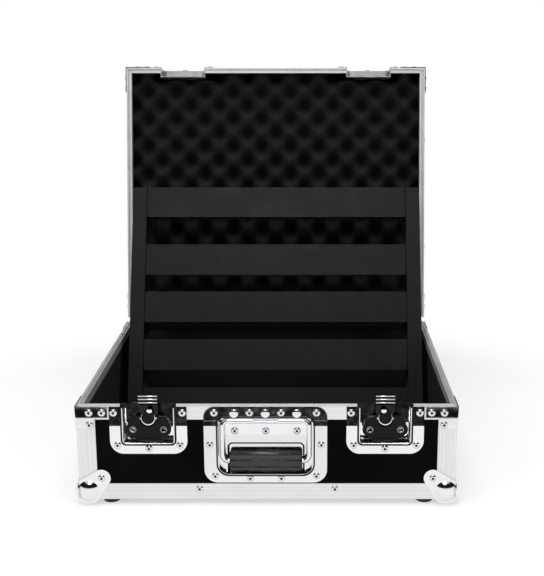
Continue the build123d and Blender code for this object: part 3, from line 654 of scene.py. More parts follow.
def bridge(mesh: Mesh, rings: Sequence[Sequence[bmesh.types.BMVert]], closed: bool = False) -> None:
    """Join each ring of points to the next with a band of faces.

    Args:
        mesh: the mesh that holds the rings.
        rings: the rings, with as many points in each.
        closed: whether the last is joined to the first.
    """
    for near, far in [*zip(rings, rings[1:]), *([(rings[-1], rings[0])] if closed else [])]:
        for k in range(len(near)):
            after = (k + 1) % len(near)
            mesh.faces.new((near[k], near[after], far[after], far[k]))


def lathe(section: Sequence[Point], steps: int = 48, out: float = 1.0, up: float = 1.0) -> Mesh:
    """Turn a section about the local Z axis.

    Args:
        section: (radius, height) pairs, from the axis or in a ring.
        steps: how many sides the turned form has.
        out: what the radii are given in.
        up: what the heights are given in.

    Returns:
        The closed mesh.
    """
    mesh = bmesh.new()
    bridge(mesh, [[mesh.verts.new((x, y, height * up)) for x, y in circle(0.0, 0.0, radius * out, steps)]
                  for radius, height in section])
    bmesh.ops.remove_doubles(mesh, verts=mesh.verts, dist=WELD)
    return mesh


def front_of(name: str) -> Vector:
    """The middle of a CAD node's front."""
    low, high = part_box(name)
    return Vector(((low.x + high.x) / 2, low.y, (low.z + high.z) / 2))


# ------------------------------------------------------------------ the case
@dataclass(frozen=True)
class LidHinge:
    """Where the lid turns, and how far open it stands."""

    axis: Spot
    angle: float

    @classmethod
    def from_frame(cls, joints: list[dict]) -> LidHinge:
        """Read the lid's joint.

        Args:
            joints: the frame's joints.

        Returns:
            The hinge's place, and the angle from shut to the open rest.
        """
        swing = next(joint for joint in joints if joint["name"] == "lid_swing")
        x, y, z = swing["pos_m"]
        return cls((x, y, z), math.radians(swing["range_deg"][1]))

    def opened(self) -> Matrix:
        """The matrix that takes a lid piece from its shut place to its open one."""
        centre = Vector(self.axis)
        return Matrix.Translation(centre) @ Matrix.Rotation(-self.angle, 4, "X") @ Matrix.Translation(-centre)

    def shut_box(self, node: Piece) -> tuple[Vector, Vector]:
        """Find the box of a lid node in the lid's shut place.

        Args:
            node: the CAD node.

        Returns:
            Its lowest and highest corner.
        """
        back = self.opened().inverted()
        points = [back @ v.co for v in node.data.vertices]
        low, high = (Vector([pick(p[axis] for p in points) for axis in range(3)]) for pick in (min, max))
        return low, high


@dataclass
class LidFoam:
    """The lid's egg-crate liner, cut from one block so that its face has rows of round bumps."""

    hinge: LidHinge
    pitch: float = 48.0 * MM
    row: float = 23.3 * MM
    shift: Point = (24.0 * MM, 9.0 * MM)
    pit: float = 25.0 * MM
    pit_shape: float = 1.15
    # How far down a pit the painted shade begins and where it is full
    shade_from: float = 0.25
    shade_to: float = 0.95
    cell: float = 2.5 * MM
    notch_clear: float = 1.0 * MM

    def hollow(self, x: float, y: float) -> float:
        """Find how deep a place lies.

        Args:
            x: how far right of the lid's middle.
            y: how far back.

        Returns:
            From 0 on a crest to 1 in a pit's middle.
        """
        across = math.cos(TURN * (x + self.shift[0]) / self.pitch)
        wave = across * math.cos(math.pi * (y + self.shift[1]) / self.row)
        return (0.5 - 0.5 * wave) ** self.pit_shape

    def face(self, low: Vector, high: Vector, notches: list[tuple[Vector, Vector]]) -> list[list[Vector]]:
        """Lay out the bumpy face, pressed in where a keeper dish needs the room.

        Args:
            low: the block's lowest corner.
            high: its highest corner.
            notches: the boxes of the keeper dishes.

        Returns:
            The face's points, row by row.
        """
        across, along = round((high.x - low.x) / self.cell), round((high.y - low.y) / self.cell)
        rows = []
        for j in range(along + 1):
            y = low.y + j / along * (high.y - low.y)
            rows.append([])
            for i in range(across + 1):
                x = low.x + i / across * (high.x - low.x)
                z = low.z + self.pit * self.hollow(x, y)
                for near, far in notches:
                    if near.x - self.cell < x < far.x + self.cell and y < far.y + self.notch_clear:
                        z = max(z, far.z + self.notch_clear)
                rows[-1].append(Vector((x, y, z)))
        return rows

    def build(self, nodes: dict[str, Piece], material: Material) -> Piece:
        """Make the block in place of its plain solid.

        Args:
            nodes: the CAD nodes.
            material: the foam's finish.

        Returns:
            The liner.
        """
        low, high = self.hinge.shut_box(nodes["lid_foam"])
        notches = [self.hinge.shut_box(nodes[f"{side}_keeper_dish"]) for side in ("left", "right")]
        mesh = bmesh.new()
        face = [[mesh.verts.new(point) for point in row] for row in self.face(low, high, notches)]
        for near, far in zip(face, face[1:]):
            for i in range(len(near) - 1):
                mesh.faces.new((near[i], near[i + 1], far[i + 1], far[i]))
        rim = [*face[0][:-1], *(row[-1] for row in face[:-1]), *face[-1][:0:-1],
               *(row[0] for row in face[:0:-1])]
        back = [mesh.verts.new((vert.co.x, vert.co.y, high.z)) for vert in rim]
        bridge(mesh, [rim, back])
        mesh.faces.new(back)
        foam = new_piece("egg_crate_foam", mesh, material, "lid", self.hinge.opened(), 60.0)
        self.mark_pit_shade(foam, low.z)
        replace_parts(foam, "lid_foam")
        return foam

    def mark_pit_shade(self, foam: Piece, crest: float) -> None:
        """Give each point how far it lies down a pit, for the finish to paint shade by.

        Args:
            foam: the liner.
            crest: the height of its crests with the lid shut.
        """
        back = self.hinge.opened().inverted()
        span = self.shade_to - self.shade_from
        depths = [((back @ v.co).z - crest) / self.pit for v in foam.data.vertices]
        marks = [min(1.0, max(0.0, (depth - self.shade_from) / span)) for depth in depths]
        foam.data.attributes.new("pit", "FLOAT", "POINT").data.foreach_set("value", marks)


@dataclass
class LatchWing:
    """A latch's folding wing: a pressed butterfly with two pierced ears and a finger lip."""

    side: str
    ear_radius: float = 9.8 * MM
    ear_out: float = 20.0 * MM
    ear_drop: float = 15.0 * MM
    top_radius: float = 15.0 * MM
    boss_radius: float = 11.0 * MM
    shoulder: float = 4.0 * MM
    lip_width: float = 25.0 * MM
    drop: float = 30.0 * MM
    lip_height: float = 3.4 * MM
    sheet: float = 1.3 * MM
    pressed: float = 0.9 * MM
    hole_radius: float = 3.4 * MM
    eyelet_rim: float = 1.3 * MM
    eyelet_height: float = 0.5 * MM
    # The turned rim's section, in shares of its width out from the hole and of its height
    eyelet_section: tuple[Point, ...] = ((-0.3, 0.0), (1.0, 0.0), (0.8, 0.8), (0.5, 1.0), (0.0, 0.7),
                                         (-0.3, 0.0))
    eyelet_seat: float = 0.45
    front_in: float = 0.9 * MM
    soft_edge: float = 0.45 * MM

    def outline(self) -> list[Point]:
        """Go round the top and both ears.

        Returns:
            The butterfly's outline about the boss, without its notch.
        """
        points = circle(0, 0, self.top_radius)
        for side in (-1, 1):
            points += circle(side * self.ear_out, -self.ear_drop, self.ear_radius)
            points.append((side * self.lip_width / 2, -self.drop))
        return hull(points)

    def notched(self) -> list[Point]:
        """Cut the notch that clears the boss out of the outline.

        Returns:
            The outline, anticlockwise from the left ear's top.
        """
        points = self.outline()
        first = next(k for k, p in enumerate(points) if p[1] < self.shoulder <= points[k - 1][1])
        lower = [p for p in points[first:] + points[:first] if p[1] < self.shoulder]
        reach = self.boss_radius
        turns = [math.radians(deg) for deg in range(0, -181, -10)]
        notch = [(reach * math.cos(turn), reach * math.sin(turn)) for turn in turns]
        right = rounded(lower[-1], (lower[-1][0], self.shoulder), (reach, self.shoulder))
        left = [(-x, y) for x, y in reversed(right)]
        return lower + right + notch + left

    def lip(self) -> list[Point]:
        """The outline of the pressed finger lip at the wing's lower edge."""
        top, half, slope = self.lip_height - self.drop, self.lip_width / 2, self.lip_height / 2
        return [(-half - slope, -self.drop), (half + slope, -self.drop), (half, top), (-half, top)]

    def eyelet(self) -> Mesh:
        """Turn the rim round a hole."""
        return lathe([(self.hole_radius + out * self.eyelet_rim, up * self.eyelet_height)
                      for out, up in self.eyelet_section], 32)

    def build(self, cam: str, wing: str, material: Material, bright: Material) -> None:
        """Make the wing in place of its plain plate.

        Args:
            cam: the name of the latch's cam node, which gives the boss's middle.
            wing: the name of the plain wing node.
            material: the wing's finish, dark as a painted reflection.
            bright: the finish of the rims round its two holes.
        """
        boss = front_of(cam)
        place = Matrix.Translation((boss.x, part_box(wing)[0].y + self.front_in, boss.z)) @ FACE_FRONT
        body = f"{self.side}_wing"
        holes = [circle(side * self.ear_out, -self.ear_drop, self.hole_radius, 24) for side in (-1, 1)]
        sheet, edge = flat_sheet([self.notched(), *holes]), flat_sheet([self.lip()], self.pressed)
        plate = new_piece(f"{self.side}_pressed_wing", sheet, material, body, place, 50.0)
        lip = new_piece(f"{self.side}_wing_lip", edge, material, body, place, 50.0)
        for piece in (plate, lip):
            solid = piece.modifiers.new("sheet", "SOLIDIFY")
            solid.thickness = self.sheet
            solid.offset = 0.0
            soften(piece, self.soft_edge)
        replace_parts(plate, wing)
        for number, out in enumerate((-self.ear_out, self.ear_out), 1):
            spot = place @ Matrix.Translation((out, -self.ear_drop, self.eyelet_seat * self.sheet))
            new_piece(f"{self.side}_wing_eyelet_{number}", self.eyelet(), bright, body, spot)


@dataclass
class LatchTrim:
    """What shows of a latch's cam and hook: the cam's face, dark as a painted reflection, and the bright folds
    across the hook.
    """

    side: str
    face_radius: float = 8.6 * MM
    face_rise: float = 1.0 * MM
    face_height: float = 0.35 * MM
    nose_radius: float = 3.4 * MM
    nose_rise: float = 9.6 * MM
    nose_in: float = 2.0 * MM
    # Half sections: the face's in shares of its radius and height, the nose's in shares of its radius
    face_section: tuple[Point, ...] = ((0.0, 1.0), (0.9, 1.0), (1.0, 0.4), (1.0, -1.0), (0.0, -1.0))
    nose_section: tuple[Point, ...] = ((0.0, 0.26), (0.4, 0.22), (0.75, 0.12), (1.0, 0.0), (1.0, -0.103),
                                       (0.0, -0.103))
    fold_radius: float = 0.8 * MM
    fold_seat: float = 0.32 * MM
    fold_drops: tuple[float, ...] = (0.9 * MM, 5.2 * MM, 9.9 * MM)

    def fold(self, length: float) -> Mesh:
        """Turn one fold, a bar with rounded ends.

        Args:
            length: how long it is.

        Returns:
            The bar, along the local Z axis.
        """
        rim, inset, bend = self.fold_radius, 0.8 * self.fold_radius, 0.3 * self.fold_radius
        return lathe([(0, 0), (inset, 0), (rim, bend), (rim, length - bend), (inset, length), (0, length)], 16)

    def build(self, cam: str, hook: str, dark: Material, bright: Material) -> None:
        """Make the cam's face and nose and the hook's folds.

        Args:
            cam: the name of the latch's cam node.
            hook: the name of the latch's hook node.
            dark: the finish of the cam's face, dark as a painted reflection.
            bright: the finish of the nose and the folds.
        """
        front = front_of(cam) + Vector((0, 0, self.face_rise))
        inward = self.nose_in if self.side == "left" else -self.nose_in
        body = f"{self.side}_cam"
        face = lathe(self.face_section, out=self.face_radius, up=self.face_height)
        nose = lathe(self.nose_section, out=self.nose_radius, up=self.nose_radius)
        # The face's dark finish is a painted reflection
        new_piece(f"{body}_face", face, dark, body, Matrix.Translation(front) @ FACE_FRONT)
        front += Vector((inward, 0, self.nose_rise))
        new_piece(f"{body}_nose", nose, bright, body, Matrix.Translation(front) @ FACE_FRONT)
        low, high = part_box(hook)
        lying = Matrix.Rotation(TURN / 4, 4, "Y")
        for number, drop in enumerate(self.fold_drops, 1):
            spot = Matrix.Translation((low.x, low.y + self.fold_seat, high.z - drop)) @ lying
            new_piece(f"{self.side}_hook_fold_{number}", self.fold(high.x - low.x), bright, f"{self.side}_hook",
                      spot)


@dataclass
class BackShadeStrip:
    """A black sheet on the inner flange of the tray's back rim: painted shade where the flange lies in shadow
    behind the board.
    """

    thick: float = 0.4 * MM
    clear: float = 0.05 * MM
    soft_edge: float = 0.12 * MM
    back_from: float = 0.7

    def build(self, rims: Piece, material: Material) -> None:
        """Lay the strip on the flange.

        Args:
            rims: the node of the tray's rim extrusions.
            material: the strip's finish.
        """
        back = [v.co for v in rims.data.vertices if v.co.y > self.back_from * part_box(rims.name)[1].y]
        inner = min(p.y for p in back)
        flange = [p for p in back if p.y < inner + self.clear]
        low = Vector((min(p.x for p in flange), inner - self.thick, min(p.z for p in flange)))
        high = Vector((max(p.x for p in flange), inner + self.clear, max(p.z for p in flange) - self.clear))
        mesh = bmesh.new()
        size = Matrix.Diagonal((*(high - low), 1.0))
        bmesh.ops.create_cube(mesh, size=1.0, matrix=Matrix.Translation((low + high) / 2) @ size)
        # The sheet is painted shade over the flange
        soften(new_piece("back_rim_strip", mesh, material, "tray"), self.soft_edge)


@dataclass(frozen=True)
class PressedLip:
    """The small bead where a pressed plate turns into its pocket; in the dark finish it is painted shade, a
    dark line round the mouth.
    """

    width: float
    height: float
    low_radius: float
    top_radius: float
    closed: bool = True
    bead: float = 1.0 * MM
    sides: int = 10
    bend_steps: int = 8

    def path(self) -> list[Vector]:
        """Go round the mouth from the top left by the bottom to the top right.

        Returns:
            The points of its outline about its middle.
        """
        corners = [(-1, -1, self.low_radius, 180), (1, -1, self.low_radius, 270)]
        if self.closed:
            corners += [(1, 1, self.top_radius, 0), (-1, 1, self.top_radius, 90)]
        points = []
        for x, y, radius, start in corners:
            middle = Vector((x * (self.width / 2 - radius), y * (self.height / 2 - radius), 0))
            turns = [math.radians(start + 90 * k / self.bend_steps) for k in range(self.bend_steps + 1)]
            points += [middle + radius * Vector((math.cos(turn), math.sin(turn), 0)) for turn in turns]
        left, right = (Vector((x * self.width / 2, self.height / 2, 0)) for x in (-1, 1))
        return points if self.closed else [left, *points, right]

    def build(self, name: str, middle: Vector, material: Material) -> None:
        """Lay the bead round the mouth.

        Args:
            name: the piece's name.
            middle: the mouth's middle, on the plate's face.
            material: its finish.
        """
        points, up = self.path(), Vector((0, 0, 1))
        mesh = bmesh.new()
        rings = []
        for k, point in enumerate(points):
            before = points[k - 1] if k or self.closed else point
            after = points[(k + 1) % len(points)] if k + 1 < len(points) or self.closed else point
            outward = (after - before).normalized().cross(up)
            rings.append([mesh.verts.new(point + x * outward + y * up)
                          for x, y in circle(0.0, 0.0, self.bead, self.sides)])
        bridge(mesh, rings, self.closed)
        if not self.closed:
            mesh.faces.new(rings[0])
            mesh.faces.new(rings[-1][::-1])
        new_piece(name, mesh, material, "tray", Matrix.Translation(middle) @ FACE_FRONT)


@dataclass(frozen=True)
class Pockets:
    """Where the plates of the handle and the latches are pressed in, with the bead round each mouth."""

    handle_mouth: PressedLip = PressedLip(127.4 * MM, 81.8 * MM, 15.5 * MM, 9.5 * MM)
    handle_drop: float = 14.0 * MM
    finger_well: PressedLip = PressedLip(100.0 * MM, 44.0 * MM, 6.0 * MM, 6.0 * MM, bead=1.2 * MM)
    latch_mouth: PressedLip = PressedLip(71.0 * MM, 51.0 * MM, 6.0 * MM, 0.0, closed=False)
    latch_turn: PressedLip = PressedLip(67.4 * MM, 49.2 * MM, 5.0 * MM, 0.0, closed=False, bead=0.9 * MM)
    latch_rise: float = 12.5 * MM
    sink: float = 0.5 * MM

    def build(self, dark: Material, bright: Material) -> None:
        """Lay the beads round the pockets of the handle and the latches.

        Args:
            dark: the beads' finish, dark as painted shade.
            bright: the finish of the latches' inner beads.
        """
        dish, top = front_of("handle_dish"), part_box("handle_dish")[1].z - self.handle_drop
        spot = Vector((dish.x, dish.y + self.sink, top - self.handle_mouth.height / 2))
        self.handle_mouth.build("handle_pocket_lip", spot, dark)
        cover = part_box("handle_cover")[1].y + self.sink
        self.finger_well.build("finger_well_lip", Vector((dish.x, cover, front_of("handle_grip").z)), dark)
        for side in ("left", "right"):
            dish, low = front_of(f"{side}_latch_dish"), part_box(f"{side}_latch_dish")[0].z
            spot = Vector((dish.x, dish.y + self.sink, low + self.latch_rise + self.latch_mouth.height / 2))
            self.latch_mouth.build(f"{side}_latch_pocket_lip", spot, dark)
            spot += Vector((0, self.sink, (self.latch_mouth.height - self.latch_turn.height) / 2))
            self.latch_turn.build(f"{side}_latch_pocket_turn", spot, bright)


@dataclass
class HandlePips:
    """The three round pips pressed in the handle plate's upper band."""

    radius: float = 5.8 * MM
    height: float = 1.3 * MM
    root: float = 0.39 * MM
    spacing: float = 40.8 * MM
    below_top: float = 9.4 * MM
    dome_steps: int = 6

    def section(self) -> list[Point]:
        """A pip's dome and the root that sits in the plate, as (radius, height) pairs."""
        turns = [TURN / 4 * k / self.dome_steps for k in range(self.dome_steps + 1)]
        dome = [(self.radius * math.sin(turn), self.height * math.cos(turn)) for turn in turns]
        return [*dome, (self.radius, -self.root), (0, -self.root)]

    def build(self, dish: str, material: Material) -> None:
        """Press the pips, all in one piece.

        Args:
            dish: the name of the handle's dish node.
            material: the plate's finish.
        """
        front = front_of(dish)
        front.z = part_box(dish)[1].z - self.below_top
        pips, spare = bmesh.new(), bpy.data.meshes.new("pip")
        for k in (-1, 0, 1):
            pip = lathe(self.section(), 32)
            spot = Matrix.Translation(front + Vector((k * self.spacing, 0, 0)))
            bmesh.ops.transform(pip, matrix=spot @ FACE_FRONT, verts=pip.verts)
            pip.to_mesh(spare)
            pip.free()
            pips.from_mesh(spare)
        bpy.data.meshes.remove(spare)
        new_piece("handle_plate_pips", pips, material, "tray")


@dataclass
class HandleGrip:
    """The handle's moulded grip: a soft oblong bar with two finger grooves and rounded ends."""

    groove_depth: float = 1.8 * MM
    flat_from: float = 0.55
    squareness: float = 5.0
    end_round: float = 3.0 * MM
    # How far in from an end each ring lies, in shares of end_round, and its size beside the full section
    end_rings: tuple[Point, ...] = ((0.0, 0.62), (0.35, 0.86), (1.0, 1.0))
    end_height: float = 0.3
    steps: int = 96
    ribs: int = 3

    def section(self, half_t: float, half_h: float) -> list[Point]:
        """Go round the grip's section, a superellipse with grooves on its front and back.

        Args:
            half_t: half the grip's thickness.
            half_h: half its height.

        Returns:
            The section as (depth, height) points.
        """
        points = []
        for k in range(self.steps):
            turn = TURN * k / self.steps
            c, s = math.cos(turn), math.sin(turn)
            corner = abs(c / half_t) ** self.squareness + abs(s / half_h) ** self.squareness
            reach = corner ** (-1 / self.squareness)
            wave = 0.5 + 0.5 * math.cos(TURN * self.ribs * (reach * s / half_h + 1) / 2)
            flat = max(0.0, abs(c) * reach / half_t - self.flat_from) / (1 - self.flat_from)
            groove = self.groove_depth * wave * min(1.0, flat)
            points.append((reach * c - math.copysign(groove, c), reach * s))
        return points

    def build(self, node: str, material: Material) -> None:
        """Make the grip in place of its plain bar.

        Args:
            node: the name of the plain grip node.
            material: the rubber.
        """
        low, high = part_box(node)
        middle = (low + high) / 2
        section = self.section((high.y - low.y) / 2, (high.z - low.z) / 2)
        ends = [(low.x + share * self.end_round, scale) for share, scale in self.end_rings]
        ends += [(high.x + low.x - x, scale) for x, scale in reversed(ends)]
        mesh = bmesh.new()
        rings = []
        for x, scale in ends:
            tall = self.end_height + (1 - self.end_height) * scale
            rings.append([mesh.verts.new((x, middle.y - depth * scale, middle.z + height * tall))
                          for depth, height in section])
        bridge(mesh, rings)
        mesh.faces.new(rings[0][::-1])
        mesh.faces.new(rings[-1])
        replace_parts(new_piece("rubber_grip", mesh, material, "handle"), node)


@dataclass
class RivetHeads:
    """Blind rivets: a domed flange round the deep dimple that the broken mandrel leaves."""

    flange: float = 5.0 * MM
    crown: float = 1.9 * MM
    dimple: float = 1.47 * MM
    # From the dimple's floor over the crown to the flange, in shares of the flange's radius and the crown
    head_section: tuple[Point, ...] = ((0.0, 0.35), (0.224, 0.35), (0.28, 0.9), (0.392, 1.0), (0.72, 0.78),
                                       (0.93, 0.4), (1.0, 0.12), (1.0, -0.1))

    def head(self) -> Piece:
        """Make one head.

        Returns:
            The head about the local Z axis, with its dimple marked by an attribute for the painted shade.
        """
        mesh = lathe(self.head_section, 24, self.flange, self.crown)
        bmesh.ops.recalc_face_normals(mesh, faces=mesh.faces)
        made = as_object("rivet_head", mesh)
        made.data.shade_smooth()
        mark = made.data.attributes.new("dimple", "FLOAT", "POINT")
        mark.data.foreach_set("value", [float(v.co.xy.length < self.dimple) for v in made.data.vertices])
        return made

    def seats(self, node: Piece) -> list[tuple[Vector, Vector]]:
        """Find where the node's plain heads sit, by the largest flat of each.

        Args:
            node: a CAD node of plain heads.

        Returns:
            Each head's seat and the way it points.
        """
        mesh = bmesh.new()
        mesh.from_mesh(node.data)
        bmesh.ops.remove_doubles(mesh, verts=mesh.verts, dist=WELD)
        left = set(mesh.faces)
        found = []
        while left:
            queue = [left.pop()]
            flats: dict[tuple[float, ...], list[bmesh.types.BMFace]] = {}
            while queue:
                face = queue.pop()
                flats.setdefault(tuple(round(c, 1) for c in face.normal), []).append(face)
                near = {other for edge in face.edges for other in edge.link_faces} & left
                left -= near
                queue += near
            area, base = max(((sum(f.calc_area() for f in faces), faces) for faces in flats.values()),
                             key=lambda pair: pair[0])
            seat = sum((f.calc_center_median() * f.calc_area() for f in base), Vector()) / area
            found.append((seat, -base[0].normal.copy()))
        mesh.free()
        return found

    def tree(self) -> bpy.types.GeometryNodeTree:
        """Build the node group that sets a head on every seat.

        Returns:
            The group, with sockets for the seats, the head, its scale and the finish.
        """
        tree = bpy.data.node_groups.new("rivet_row", "GeometryNodeTree")
        tree.is_modifier = True
        for name, kind, way in (("Seats", "Geometry", "INPUT"), ("Head", "Object", "INPUT"),
                                ("Head Scale", "Float", "INPUT"), ("Finish", "Material", "INPUT"),
                                ("Rivets", "Geometry", "OUTPUT")):
            tree.interface.new_socket(name, in_out=way, socket_type=f"NodeSocket{kind}")
        given = add_node(tree, "NodeGroupInput").outputs
        outward = add_node(tree, "GeometryNodeInputNamedAttribute", {"Name": "outward"},
                           data_type="FLOAT_VECTOR")
        turned = add_node(tree, "FunctionNodeAlignRotationToVector", {"Vector": outward}, axis="Z")
        head = add_node(tree, "GeometryNodeObjectInfo", {"Object": given["Head"]})
        heads = add_node(tree, "GeometryNodeInstanceOnPoints",
                         {"Points": given["Seats"], "Instance": head.outputs["Geometry"], "Rotation": turned,
                          "Scale": given["Head Scale"]})
        real = add_node(tree, "GeometryNodeRealizeInstances", [heads])
        dressed = add_node(tree, "GeometryNodeSetMaterial", {"Geometry": real, "Material": given["Finish"]})
        add_node(tree, "NodeGroupOutput", {"Rivets": dressed})
        return tree

    def build(self, nodes: Sequence[Piece], name: str, body: str, material: Material) -> None:
        """Set the heads in place of the plain ones, as one plain mesh.

        Args:
            nodes: the plain nodes on one body.
            name: the new piece's name.
            body: the body it rides on.
            material: the rivets' finish.
        """
        places = [place for node in nodes for place in self.seats(node)]
        points = bmesh.new()
        for seat, _ in places:
            points.verts.new(seat)
        seats, head = as_object(f"{name}_seats", points), self.head()
        outward = seats.data.attributes.new("outward", "FLOAT_VECTOR", "POINT")
        outward.data.foreach_set("vector", [c for _, out in places for c in out])
        row = seats.modifiers.new("rivets", "NODES")
        row.node_group = self.tree()
        values = {"Head": head, "Head Scale": 1.0, "Finish": material}
        for item in row.node_group.interface.items_tree:
            if item.in_out == "INPUT" and item.name in values:
                row[item.identifier] = values[item.name]
        ready = seats.evaluated_get(bpy.context.evaluated_depsgraph_get())
        made = bpy.data.objects.new(name, bpy.data.meshes.new_from_object(ready))
        bpy.context.collection.objects.link(made)
        for spare in (seats, head):
            bpy.data.objects.remove(spare)
        put(made, material)
        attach(made, body)
        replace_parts(made, *[node.name for node in nodes])
        LOG.info("%s: %d rivets", name, len(places))


# ------------------------------------------------------------------ the studio
@dataclass(frozen=True)
class SoftBox:
    """A square soft box: where it hangs, its side and watts, what it faces and if bright metal mirrors it."""

    name: str
    place: Spot
    side: float
    watts: float
    aim: Spot = (0.0, 0.0, 0.25)
    mirrored: bool = False

    def build(self) -> None:
        """Hang the soft box."""
        light = bpy.data.lights.new(self.name, "AREA")
        light.shape = "SQUARE"
        light.size = self.side
        light.energy = self.watts
        made = bpy.data.objects.new(self.name, light)
        made.location = self.place
        made.visible_glossy = self.mirrored
        made.rotation_euler = (Vector(self.aim) - Vector(self.place)).to_track_quat("-Z", "Y").to_euler()
        bpy.context.collection.objects.link(made)


@dataclass
class Studio:
    """A pale floor, soft lamps and a camera in front of the case, a little above it."""

    floor_half: float = 9.0
    clear_near: float = 0.34
    clear_far: float = 0.75
    shadow_lift: float = 0.5
    light_level: float = 0.42
    horizon: float = 0.15
    overhead: float = 0.21
    flag_level: float = 0.006
    canopy_from: float = 0.66
    canopy_full: float = 0.8
    canopy_level: float = 0.85
    lamps: tuple[SoftBox, ...] = (
        SoftBox("front_soft_box", (-0.1, -2.0, 2.2), 0.8, 22.0, mirrored=True),
        SoftBox("left_soft_box", (-1.7, -1.7, 1.6), 1.3, 22.0),
        SoftBox("right_soft_box", (1.7, -1.7, 1.3), 1.3, 16.0),
        SoftBox("top_soft_box", (0.0, -0.2, 2.4), 1.6, 24.0, (0.0, 0.1, 0.0)),
    )
    camera_place: Spot = (0.0537, -1.5136, 0.6121)
    camera_tilt_deg: float = 76.45
    lens_mm: float = 66.6
    shift_x: float = -0.0625

    def floor(self) -> None:
        """Lay the floor: matt white paper near the case, fading to the white backdrop further out."""
        mesh = bmesh.new()
        bmesh.ops.create_grid(mesh, x_segments=1, y_segments=1, size=self.floor_half)
        made = as_object("studio_floor", mesh)
        paint = Finish("white_paper_sweep", "#f6f6f6", 0.9).start(0.0)
        tree = paint.tree
        far = add_node(tree, "ShaderNodeVectorMath", [paint.place], operation="LENGTH").outputs["Value"]
        fade = add_node(tree, "ShaderNodeMapRange",
                        {"Value": far, "From Min": self.clear_near, "From Max": self.clear_far},
                        interpolation_type="SMOOTHSTEP")
        least = add_node(tree, "ShaderNodeMath", [fade, self.shadow_lift], operation="MAXIMUM")
        path = add_node(tree, "ShaderNodeLightPath").outputs
        sees = path["Is Camera Ray"]
        for ray in ("Is Glossy Ray", "Is Transmission Ray"):
            sees = add_node(tree, "ShaderNodeMath", [sees, path[ray]], operation="MAXIMUM")
        shown = add_node(tree, "ShaderNodeMath", [least, sees], operation="MULTIPLY")
        white = add_node(tree, "ShaderNodeEmission", [WHITE, 1.0])
        mixed = add_node(tree, "ShaderNodeMixShader", [shown, paint.shader, white])
        tree.links.new(mixed.outputs[0], tree.nodes["Material Output"].inputs["Surface"])
        put(made, paint.material)

    def world(self) -> None:
        """Light the air: white where it is seen, darker overhead where bright metal mirrors it."""
        world = bpy.data.worlds.new("studio_air")
        bpy.context.scene.world = world
        world.use_nodes = True
        tree = world.node_tree
        tree.nodes.clear()
        path = add_node(tree, "ShaderNodeLightPath").outputs
        place = add_node(tree, "ShaderNodeTexCoord").outputs["Generated"]
        up = add_node(tree, "ShaderNodeSeparateXYZ", [place]).outputs["Z"]
        bands = ((self.horizon, self.overhead, 1.0, self.flag_level),
                 (self.canopy_from, self.canopy_full, 0.0, self.canopy_level))
        levels = [add_node(tree, "ShaderNodeMapRange",
                           {"Value": up, "From Min": begin, "From Max": end, "To Min": below, "To Max": above},
                           interpolation_type="SMOOTHSTEP") for begin, end, below, above in bands]
        both = add_node(tree, "ShaderNodeMath", levels, operation="MAXIMUM")
        mirrored, lit, seen = (add_node(tree, "ShaderNodeBackground", [WHITE, level])
                               for level in (both, self.light_level, 1.0))
        first = add_node(tree, "ShaderNodeMixShader", [path["Is Glossy Ray"], lit, mirrored])
        straight = add_node(tree, "ShaderNodeMath", [path["Is Camera Ray"], path["Is Transmission Ray"]],
                            operation="MAXIMUM")
        second = add_node(tree, "ShaderNodeMixShader", [straight, first, seen])
        add_node(tree, "ShaderNodeOutputWorld", [second])

    def camera(self) -> None:
        """Stand the camera where the photograph was taken from."""
        data = bpy.data.cameras.new("camera")
        data.lens = self.lens_mm
        data.shift_x = self.shift_x
        made = bpy.data.objects.new("camera", data)
        made.location = self.camera_place
        made.rotation_euler = (math.radians(self.camera_tilt_deg), 0.0, 0.0)
        bpy.context.collection.objects.link(made)
        bpy.context.scene.camera = made

    def build(self) -> None:
        """Set up the floor, the air, the lamps and the camera."""
        bpy.context.scene.view_settings.view_transform = "Standard"
        self.floor()
        self.world()
        for lamp in self.lamps:
            lamp.build()
        self.camera()


